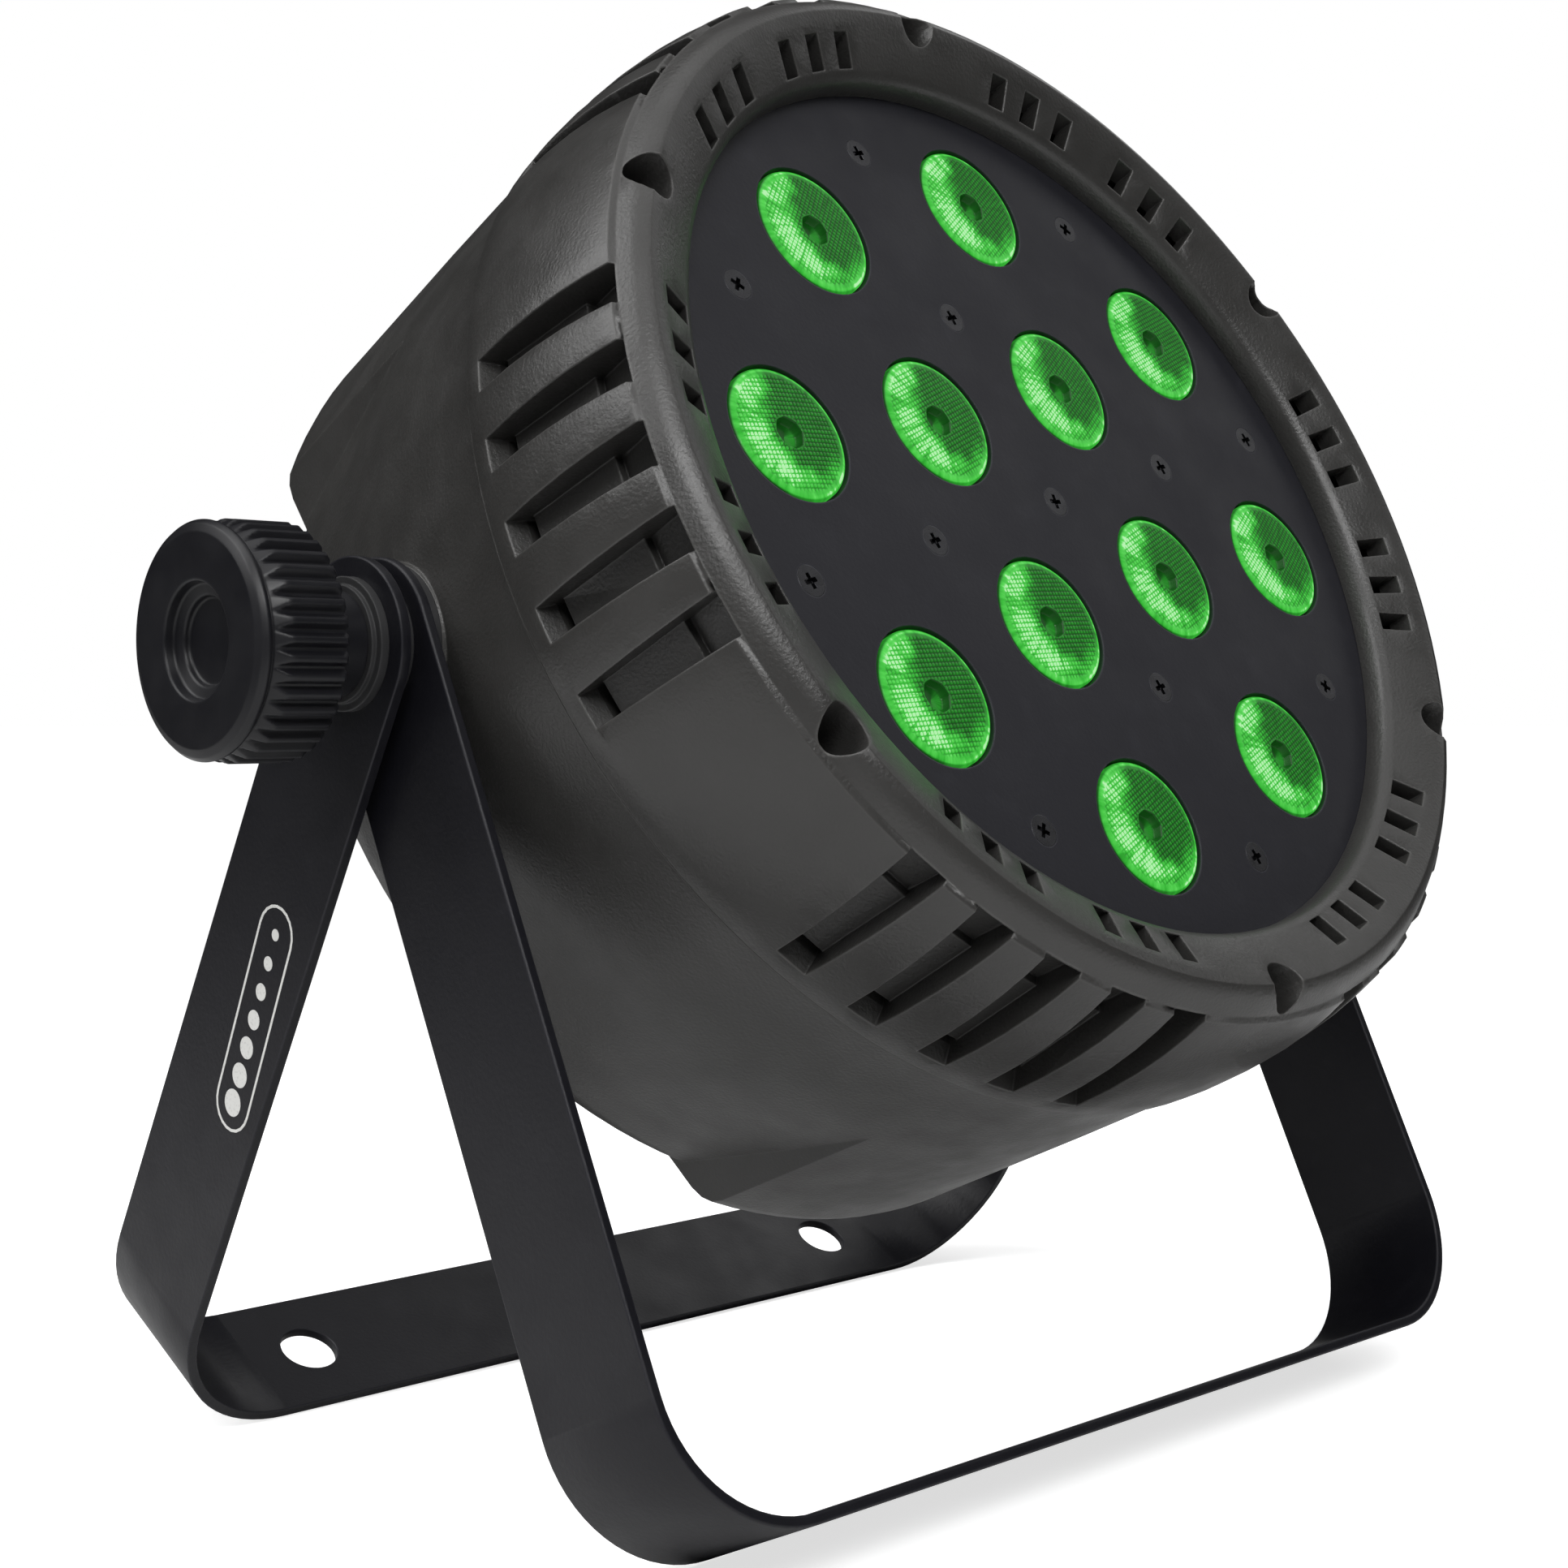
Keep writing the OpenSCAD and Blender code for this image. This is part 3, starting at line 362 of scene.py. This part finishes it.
def make_materials():
    """One material for each slot named in the record."""
    return {
        "yoke_coat": powder_coat("yoke_coat", (0.0050, 0.0049, 0.0072), edge=0.9),
        "washer_nylon": moulded("washer_nylon", (0.016, 0.016, 0.017)),
        "stud_steel": metal("stud_steel", (0.62, 0.62, 0.64)),
        "knob_plastic": moulded("knob_plastic", (0.0045, 0.0045, 0.0062), roughness=0.38, depth=0.008 * MM,
                                specular=0.35),
        "insert_brass": metal("insert_brass", (0.7, 0.52, 0.24)),
        "housing_plastic": moulded("housing_plastic", (0.0255, 0.0248, 0.0236), grain=0.65 * MM,
                                   depth=0.085 * MM, roughness=0.36, edge=1.0, groove=1.6 * MM),
        "plate_coat": powder_coat("plate_coat", (0.0105, 0.0105, 0.0140), roughness=0.5, edge=0.9),
        "black_screw": metal("black_screw", (0.065, 0.065, 0.07), roughness=0.32),
        "zinc_steel": metal("zinc_steel", (0.6, 0.6, 0.62)),
        "lens_green": lit_lens("lens_green"),
        "holder_black": moulded("holder_black", (0.012, 0.012, 0.013)),
        "board_white": board("board_white", (0.72, 0.72, 0.69)),
        "emitter_phosphor": moulded("emitter_phosphor", (0.75, 0.68, 0.35), roughness=0.25),
        "sink_aluminium": metal("sink_aluminium", (0.66, 0.67, 0.69), roughness=0.45),
        "board_green": board("board_green", (0.02, 0.16, 0.06)),
        "psu_mixed": moulded("psu_mixed", (0.45, 0.36, 0.12)),
        "switch_steel": metal("switch_steel", (0.5, 0.5, 0.52)),
        "display_dark": moulded("display_dark", (0.01, 0.01, 0.012)),
        "window_red": moulded("window_red", (0.04, 0.003, 0.003), roughness=0.12, depth=0.002 * MM),
        "button_plastic": moulded("button_plastic", (0.02, 0.02, 0.022)),
        "socket_plastic": moulded("socket_plastic", (0.018, 0.018, 0.02)),
    }


MATERIALS = make_materials()


# ---------- Edges and materials of the CAD nodes ----------

STRAPS = ("front_yoke", "rear_yoke")
HOUSINGS = ("front_housing", "rear_housing", "rear_panel")
SOCKETS = ("dmx_input", "dmx_output", "power_inlet", "power_outlet", "fuse_holder")
STRAP_EDGE = 0.4 * MM
HOUSING_EDGE = 0.18 * MM
SOCKET_EDGE = 0.2 * MM
WELD_REACH = 0.002 * MM


def round_edges(node, width, merge_flats=False, segments=3, angle=28):
    """Real rounded edges on a CAD node, by modifiers that leave its own mesh as it is."""
    weld = node.modifiers.new("weld", "WELD")
    weld.merge_threshold = WELD_REACH
    if merge_flats:
        flat = node.modifiers.new("merge_flats", "DECIMATE")
        flat.decimate_type = "DISSOLVE"
        flat.angle_limit = math.radians(0.6)
    bevel = node.modifiers.new("round_edges", "BEVEL")
    bevel.width = width
    bevel.segments = segments
    bevel.limit_method = "ANGLE"
    bevel.angle_limit = math.radians(angle)
    bevel.use_clamp_overlap = True
    bevel.harden_normals = True


def dress_cad_nodes():
    slots = {part["node"]: part["material_slot"] for part in frame["record"]["subparts"]}
    for name, node in NODES.items():
        node.data.materials.clear()
        node.data.materials.append(MATERIALS[slots[name]])
    for name in STRAPS:
        round_edges(NODES[name], STRAP_EDGE, merge_flats=True)
    for name in HOUSINGS:
        round_edges(NODES[name], HOUSING_EDGE)
    for name in SOCKETS:
        round_edges(NODES[name], SOCKET_EDGE)


# ---------- Mesh helpers ----------

def link(name, mesh, place=Matrix.Identity(4)):
    piece = bpy.data.objects.new(name, mesh)
    bpy.context.scene.collection.objects.link(piece)
    piece.matrix_world = place
    return piece


def shade_by_angle(mesh, degrees):
    mesh.polygons.foreach_set("use_smooth", [True] * len(mesh.polygons))
    mesh.set_sharp_from_angle(angle=math.radians(degrees))


def filleted(points, radius, steps=4):
    """An open (r, z) outline with its corners rounded, each by radius or by what its sides allow."""
    done = [points[0]]
    for before, corner, after in zip(points, points[1:], points[2:]):
        here = Vector(corner)
        back, ahead = Vector(before) - here, Vector(after) - here
        turn = back.angle(ahead, math.pi)
        if turn > math.radians(165):
            done.append(corner)
            continue
        reach = min(radius / math.tan(turn / 2), 0.45 * back.length, 0.45 * ahead.length)
        start, end = here + back.normalized() * reach, here + ahead.normalized() * reach
        for step in range(steps + 1):
            t = step / steps
            done.append(tuple(start * (1 - t) ** 2 + here * 2 * t * (1 - t) + end * t ** 2))
    return done + [points[-1]]


def turned_mesh(name, outline, columns, radius_at=None):
    """A closed turned solid. The outline's (r, z) points start and end on the axis; radius_at reshapes r."""
    mesh = bpy.data.meshes.new(name)
    shape = bmesh.new()
    rows = []
    for index, (radius, height) in enumerate(outline):
        if radius < 1e-7:
            rows.append([shape.verts.new((0, 0, height))])
            continue
        row = []
        for column in range(columns):
            angle = 2 * math.pi * column / columns
            r = radius_at(radius, height, angle) if radius_at else radius
            row.append(shape.verts.new((r * math.cos(angle), r * math.sin(angle), height)))
        rows.append(row)
    for low, high in zip(rows, rows[1:]):
        for column in range(columns):
            after = (column + 1) % columns
            corners = [low[column % len(low)], low[after % len(low)],
                       high[after % len(high)], high[column % len(high)]]
            unique = list(dict.fromkeys(corners))
            if len(unique) > 2:
                shape.faces.new(unique)
    bmesh.ops.recalc_face_normals(shape, faces=shape.faces)
    shape.to_mesh(mesh)
    shape.free()
    return mesh


def finish_piece(piece, body, slot, *nodes):
    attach(piece, body)
    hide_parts(*nodes)
    piece.data.materials.append(MATERIALS[slot])


# ---------- Knobs ----------

KNOB_LENGTH = 16.5 * MM
KNOB_NECK = 9 * MM
KNOB_FLUTES = 40
COLUMNS_PER_FLUTE = 14
FLUTE_DEPTH = 1.25 * MM
BORE_GAP = 0.05 * MM


def knob_outline(grip, length, neck, neck_length, bore):
    """(r, z) of a knob from its bore's end round to its face, with z = 0 at the back of the grip."""
    m = MM
    face = [
        (0, length - 6 * m), (bore, length - 6 * m), (bore, -neck_length), (neck, -neck_length), (neck, 0),
        (grip - 2.2 * m, 0), (grip - 0.6 * m, 0), (grip, 0.6 * m)
    ]
    rows = 22
    front = length - 3.1 * m
    face += [(grip, 0.6 * m + (front - 0.6 * m) * (row + 1) / rows) for row in range(rows)]
    rim = [
        (grip - 1.7 * m, front), (grip - 1.7 * m, front + 0.5 * m), (grip - 0.5 * m, front + 0.9 * m),
        (grip - 0.3 * m, front + 1.7 * m), (grip - 1.0 * m, front + 2.6 * m), (grip - 2.4 * m, length),
        (10.4 * m, length - 0.1 * m), (9.7 * m, length - 0.2 * m), (9.5 * m, length - 2.0 * m),
        (7.4 * m, length - 2.5 * m), (7.2 * m, length - 3.6 * m), (0, length - 3.6 * m)
    ]
    return face, filleted([face[-1]] + rim, 0.5 * m)[1:]


def knob_radius(grip, length):
    """Radius of the grip: flutes cut into a cylinder that ends in a cone, so that they run out in points."""
    front = length - 3.1 * MM

    def radius_at(radius, height, angle):
        if radius < grip - 0.7 * MM or height < 0 or height > front + 1e-7:
            return radius
        phase = (angle * KNOB_FLUTES / (2 * math.pi)) % 1
        from_middle = abs(phase - 0.5) * 2
        cut = min(1.0, max(0.0, (0.74 - from_middle) / 0.56))
        cone = grip - max(0.0, height - (front - 2.6 * MM)) * 0.56
        return min(radius, cone, grip - FLUTE_DEPTH * cut)

    return radius_at


def make_knob(side, sign):
    low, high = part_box(f"{side}_knob")
    outer_x = high.x if sign > 0 else -low.x
    inner_x = low.x if sign > 0 else -high.x
    grip = (high.z - low.z) / 2
    stud_low, stud_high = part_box(f"{side}_stud")
    bore = (stud_high.z - stud_low.z) / 2 + BORE_GAP
    neck_length = outer_x - inner_x - KNOB_LENGTH
    face, rim = knob_outline(grip, KNOB_LENGTH, KNOB_NECK, neck_length, bore)
    mesh = turned_mesh(f"{side}_knob_fluted", face + rim, KNOB_FLUTES * COLUMNS_PER_FLUTE,
                       knob_radius(grip, KNOB_LENGTH))
    shade_by_angle(mesh, 28)
    place = Matrix.Translation((sign * (outer_x - KNOB_LENGTH), PIVOT.y, PIVOT.z))
    piece = link(f"{side}_knob_fluted", mesh, place @ Matrix.Rotation(sign * math.pi / 2, 4, "Y"))
    finish_piece(piece, f"{side}_knob", "knob_plastic", f"{side}_knob")


# ---------- Lenses ----------

def lattice_ring(shape, inner, outer, turn):
    """A square lattice between an octagon and a circle. Returns both rims' vertices in order of angle."""
    bead = shape.verts.layers.float.new("bead")
    corners = {}

    def corner(i, j):
        if (i, j) not in corners:
            x, y = i * LATTICE, j * LATTICE
            corners[i, j] = shape.verts.new((x * math.cos(turn) - y * math.sin(turn),
                                             x * math.sin(turn) + y * math.cos(turn), 0))
            crown = math.sin(math.pi * i / CELLS_PER_BEAD) * math.sin(math.pi * j / CELLS_PER_BEAD)
            corners[i, j][bead] = math.sqrt(abs(crown))
        return corners[i, j]

    reach = math.ceil(outer / LATTICE) + 1
    for i in range(-reach, reach):
        for j in range(-reach, reach):
            x, y = (i + 0.5) * LATTICE, (j + 0.5) * LATTICE
            if octagon(inner, math.atan2(y, x) + turn) < math.hypot(x, y) < outer:
                shape.faces.new((corner(i, j), corner(i + 1, j), corner(i + 1, j + 1), corner(i, j + 1)))
    rims = ([], [])
    for vertex in {vertex for edge in shape.edges if edge.is_boundary for vertex in edge.verts}:
        angle = math.atan2(vertex.co.y, vertex.co.x)
        outside = vertex.co.length > (inner + outer) / 2
        radius = outer if outside else octagon(inner, angle)
        vertex.co = (radius * math.cos(angle), radius * math.sin(angle), 0)
        rims[outside].append((angle, vertex))
    return [[vertex for _, vertex in sorted(rim, key=lambda pair: pair[0])] for rim in rims]


def octagon(size, angle):
    """Distance from the middle to the edge of a soft octagon in one direction."""
    eighth = math.pi / 4
    return size * (0.35 + 0.65 * math.cos(eighth / 2) / math.cos(angle % eighth - eighth / 2))


def grow(shape, rim, steps):
    """Adds rows to a rim. Each step is (scale on the rim's own radii, height)."""
    first = [vertex.co.copy() for vertex in rim]
    count = len(rim)
    for scale, height in steps:
        row = [shape.verts.new((place.x * scale, place.y * scale, height)) for place in first]
        for k in range(count):
            shape.faces.new((rim[k], rim[(k + 1) % count], row[(k + 1) % count], row[k]))
        rim = row
    shape.faces.new(rim)


def lens_mesh(name, radius, depth, turn):
    """One lens round its own centre: z = 0 at its front edge, a beaded dome in front and a cup behind."""
    mesh = bpy.data.meshes.new(name)
    shape = bmesh.new()
    dimple, dome = LENS_DIMPLE * radius, radius - LENS_RIM
    inner_rim, outer_rim = lattice_ring(shape, dimple, dome, turn)
    bead = shape.verts.layers.float["bead"]
    for vertex in shape.verts:
        share = vertex.co.to_2d().length / dome
        fade = min(1.0, max(0.0, (share - 0.24) / 0.04)) * min(1.0, max(0.0, (0.93 - share) / 0.04))
        vertex[bead] = vertex[bead] * fade + BEAD_MEAN * (1 - fade)
        dome_z = DOME_HEIGHT * math.sqrt(max(0.0, 1 - share ** 2.4))
        vertex.co.z = dome_z + BEAD_HEIGHT * (vertex[bead] - BEAD_MEAN) * fade
    top = DOME_HEIGHT
    grow(shape, inner_rim, ((0.97, top - 0.08 * MM), (0.93, top - 0.35 * MM), (0.86, top - 1.5 * MM),
                            (0.80, top - 1.7 * MM), (0.3, top - 1.75 * MM)))
    side = radius / dome
    grow(shape, outer_rim, ((1 + (side - 1) * 0.6, -0.12 * MM), (side, -0.5 * MM), (side, -5.4 * MM),
                            ((radius - 1.6 * MM) / dome, -5.6 * MM), (5 * MM / dome, -depth)))
    bmesh.ops.recalc_face_normals(shape, faces=shape.faces)
    shape.to_mesh(mesh)
    shape.free()
    shade_by_angle(mesh, 38)
    return mesh


def make_lenses():
    low, high = local_box("lens_01")
    depth = high.z - low.z - LENS_BACK_GAP
    meshes = {}
    for number, turn in enumerate(LENS_TURNS, start=1):
        if turn not in meshes:
            meshes[turn] = lens_mesh(f"lens_turned_{turn}", LENS_RADIUS, depth, math.radians(turn))
            meshes[turn].materials.append(MATERIALS["lens_green"])
        node = f"lens_{number:02d}"
        low, high = local_box(node)
        front = Vector(((low.x + high.x) / 2, (low.y + high.y) / 2, high.z + LENS_PROUD))
        piece = link(f"{node}_beaded", meshes[turn], HEAD @ Matrix.Translation(front))
        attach(piece, "head")
        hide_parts(node)


# ---------- Printed mark on the rear yoke ----------

MARK_THICKNESS = 0.06 * MM
MARK_LENGTH = 46 * MM
MARK_WIDTH = 11 * MM
MARK_LINE = 0.55 * MM
MARK_DOTS = 7
MARK_SMALLEST_DOT = 1.1 * MM
MARK_DOT_GROWTH = 0.25 * MM
MARK_DROP = 74 * MM
YOKE_BAR_REACH = 6 * MM


def circle(radius, steps=24):
    turns = [2 * math.pi * step / steps for step in range(steps)]
    return [(radius * math.cos(turn), radius * math.sin(turn)) for turn in turns]


def capsule(length, width, steps=10):
    """Outline of a bar with round ends, lying along x."""
    half, r = (length - width) / 2, width / 2
    points = []
    for end in (1, -1):
        for step in range(steps + 1):
            angle = math.pi * (step / steps - 0.5)
            points.append((end * (half + r * math.cos(angle)), end * r * math.sin(angle)))
    return points


def add_plate(shape, outline, hole=None):
    """A thin printed shape: a filled outline, or the band between two outlines with equal point counts."""
    count = len(outline)
    inner = hole or outline
    rows = []
    for points, height in ((outline, 0), (outline, MARK_THICKNESS), (inner, MARK_THICKNESS), (inner, 0)):
        rows.append([shape.verts.new((x, y, height)) for x, y in points])
    if hole:
        pairs = list(zip(rows, rows[1:] + rows[:1]))
    else:
        pairs = [(rows[0], rows[1])]
        shape.faces.new(rows[1])
        shape.faces.new(reversed(rows[0]))
        for vertex in rows[2] + rows[3]:
            shape.verts.remove(vertex)
    for first, second in pairs:
        for k in range(count):
            shape.faces.new((first[k], first[(k + 1) % count], second[(k + 1) % count], second[k]))


def make_mark():
    """A plain printed badge down the left leg: an outlined bar holding a row of dots."""
    mesh = bpy.data.meshes.new("leg_mark")
    shape = bmesh.new()
    inside = capsule(MARK_LENGTH - 2 * MARK_LINE, MARK_WIDTH - 2 * MARK_LINE)
    add_plate(shape, capsule(MARK_LENGTH, MARK_WIDTH), inside)
    pitch = (MARK_LENGTH - MARK_WIDTH) / (MARK_DOTS - 1)
    for k in range(MARK_DOTS):
        radius = MARK_SMALLEST_DOT + MARK_DOT_GROWTH * k
        centre = (k - (MARK_DOTS - 1) / 2) * pitch
        add_plate(shape, [(centre + x, y) for x, y in circle(radius)])
    bmesh.ops.recalc_face_normals(shape, faces=shape.faces)
    shape.to_mesh(mesh)
    shape.free()
    low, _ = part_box("rear_yoke")
    bar = [vertex.co.y for vertex in NODES["rear_yoke"].data.vertices
           if vertex.co.z < low.z + YOKE_BAR_REACH]
    bar_y = (min(bar) + max(bar)) / 2
    down = Vector((0, bar_y - PIVOT.y, -PIVOT.z)).normalized()
    out = Vector((-1, 0, 0))
    axes = Matrix((down, out.cross(down), out)).transposed().to_4x4()
    axes.translation = Vector((low.x, PIVOT.y, PIVOT.z)) + down * MARK_DROP
    piece = link("leg_mark", mesh, axes)
    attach(piece, "rear_yoke")
    piece.data.materials.append(print_white("print_white"))


# ---------- Studio and camera ----------

WORLD_LIGHT = 0.02
FLOOR_SIZE = 30.0
# Distances from the middle at which the floor starts and ends turning dark
FLOOR_BRIGHT_REACH = 0.3
FLOOR_DARK_REACH = 1.0
# Painted shade: the floor's own colour turns dark far from the middle, so that reflections of it stay dark
FLOOR_ALBEDO = {"near": 0.72, "far": 0.08}
FLOOR_GLOW = {"near": 0.70, "far": 0.95}
CAMERA_AZIMUTH = -45.75
CAMERA_ELEVATION = 3.36
CAMERA_DISTANCE = 0.5041
CAMERA_DROP = 0.0401
CAMERA_LENS = 56.57
CAMERA_SENSOR = 36.0
CAMERA_SHIFT = (-0.0344, 0.0425)


def make_world():
    """A dim room for light and reflections, seen by the camera itself as plain white paper."""
    world = bpy.data.worlds.new("studio")
    world.use_nodes = True
    tree = world.node_tree
    room = tree.nodes["Background"]
    room.inputs["Color"].default_value = (0.95, 0.97, 1.0, 1)
    room.inputs["Strength"].default_value = WORLD_LIGHT
    paper = tree.nodes.new("ShaderNodeBackground")
    paper.inputs["Color"].default_value = (1, 1, 1, 1)
    seen = tree.nodes.new("ShaderNodeLightPath")
    either = tree.nodes.new("ShaderNodeMixShader")
    tree.links.new(seen.outputs["Is Camera Ray"], either.inputs["Fac"])
    tree.links.new(room.outputs["Background"], either.inputs[1])
    tree.links.new(paper.outputs["Background"], either.inputs[2])
    tree.links.new(either.outputs["Shader"], tree.nodes["World Output"].inputs["Surface"])
    bpy.context.scene.world = world


def make_floor():
    """Paper painted pale in the middle and dark towards the horizon, a painted shade that reflections and bounced
    light see, while the camera sees plain white.
    """
    bpy.ops.mesh.primitive_plane_add(size=FLOOR_SIZE, location=(0, 0, cad_low.z - 0.1 * MM))
    floor = bpy.context.object
    floor.name = "floor"
    shade = Shade("floor_paper", (0.7, 0.7, 0.7), roughness=0.9)
    shade.surface.inputs["Emission Color"].default_value = (1, 1, 1, 1)
    distance = shade.add("ShaderNodeVectorMath")
    distance.operation = "LENGTH"
    shade.feed(distance, 0, shade.place)
    near = shade.soft(distance.outputs["Value"], FLOOR_DARK_REACH, FLOOR_BRIGHT_REACH)
    dark, pale = (FLOOR_ALBEDO["far"],) * 3, (FLOOR_ALBEDO["near"],) * 3
    shade.feed(shade.surface, "Base Color", shade.blend(near, dark, pale))
    seen = shade.add("ShaderNodeLightPath").outputs["Is Camera Ray"]
    white = shade.spread(near, 0.0, 1.0, FLOOR_GLOW["far"], FLOOR_GLOW["near"])
    shade.feed(shade.surface, "Emission Strength", shade.maths("MULTIPLY", seen, white))
    floor.data.materials.append(shade.material)


def make_studio():
    bpy.context.scene.view_settings.view_transform = "Standard"
    make_world()
    make_floor()
    add_sky_panel("left_back", azimuth=-116, elevation=46, spread=50, strength=2.3)
    add_sky_panel("top", azimuth=0, elevation=86, spread=60, strength=0.9)
    add_softbox("front", azimuth=-30, elevation=38, distance=1.6, size=(1.2, 0.55), power=19)
    add_softbox("right", azimuth=66, elevation=36, distance=1.9, size=(0.7, 1.0), power=2.0)
    add_softbox("right_back", azimuth=104, elevation=38, distance=1.9, size=(0.7, 1.0), power=3)


def add_sky_panel(name, azimuth, elevation, spread, strength):
    """A very large, distant softbox, so that the whole floor is lit evenly."""
    light = bpy.data.lights.new(name, "SUN")
    light.energy = strength
    light.angle = math.radians(spread)
    lamp = bpy.data.objects.new(name, light)
    bpy.context.scene.collection.objects.link(lamp)
    lamp.rotation_mode = "QUATERNION"
    lamp.rotation_quaternion = (-direction(azimuth, elevation)).to_track_quat("-Z", "Y")


def direction(azimuth, elevation):
    """Unit vector from the object towards azimuth (0 in front, 90 to the right) and elevation, in degrees."""
    a, e = math.radians(azimuth), math.radians(elevation)
    return Vector((math.sin(a) * math.cos(e), -math.cos(a) * math.cos(e), math.sin(e)))


def add_softbox(name, azimuth, elevation, distance, size, power):
    light = bpy.data.lights.new(name, "AREA")
    light.shape = "RECTANGLE"
    light.size, light.size_y = size
    light.energy = power
    lamp = bpy.data.objects.new(name, light)
    bpy.context.scene.collection.objects.link(lamp)
    out = direction(azimuth, elevation)
    lamp.location = PIVOT + out * distance
    lamp.rotation_mode = "QUATERNION"
    lamp.rotation_quaternion = (-out).to_track_quat("-Z", "Y")


def make_camera():
    data = bpy.data.cameras.new("camera")
    data.lens = CAMERA_LENS
    data.sensor_width = CAMERA_SENSOR
    data.shift_x, data.shift_y = CAMERA_SHIFT
    data.clip_start = 0.01
    camera = bpy.data.objects.new("camera", data)
    bpy.context.scene.collection.objects.link(camera)
    back = direction(CAMERA_AZIMUTH, CAMERA_ELEVATION)
    camera.rotation_mode = "QUATERNION"
    camera.rotation_quaternion = (-back).to_track_quat("-Z", "Y")
    up = camera.rotation_quaternion @ Vector((0, 1, 0))
    camera.location = PIVOT + back * CAMERA_DISTANCE - up * CAMERA_DROP
    bpy.context.scene.camera = camera


make_studio()
make_camera()
dress_cad_nodes()
make_knob("left", -1)
make_knob("right", 1)
make_lenses()
make_mark()
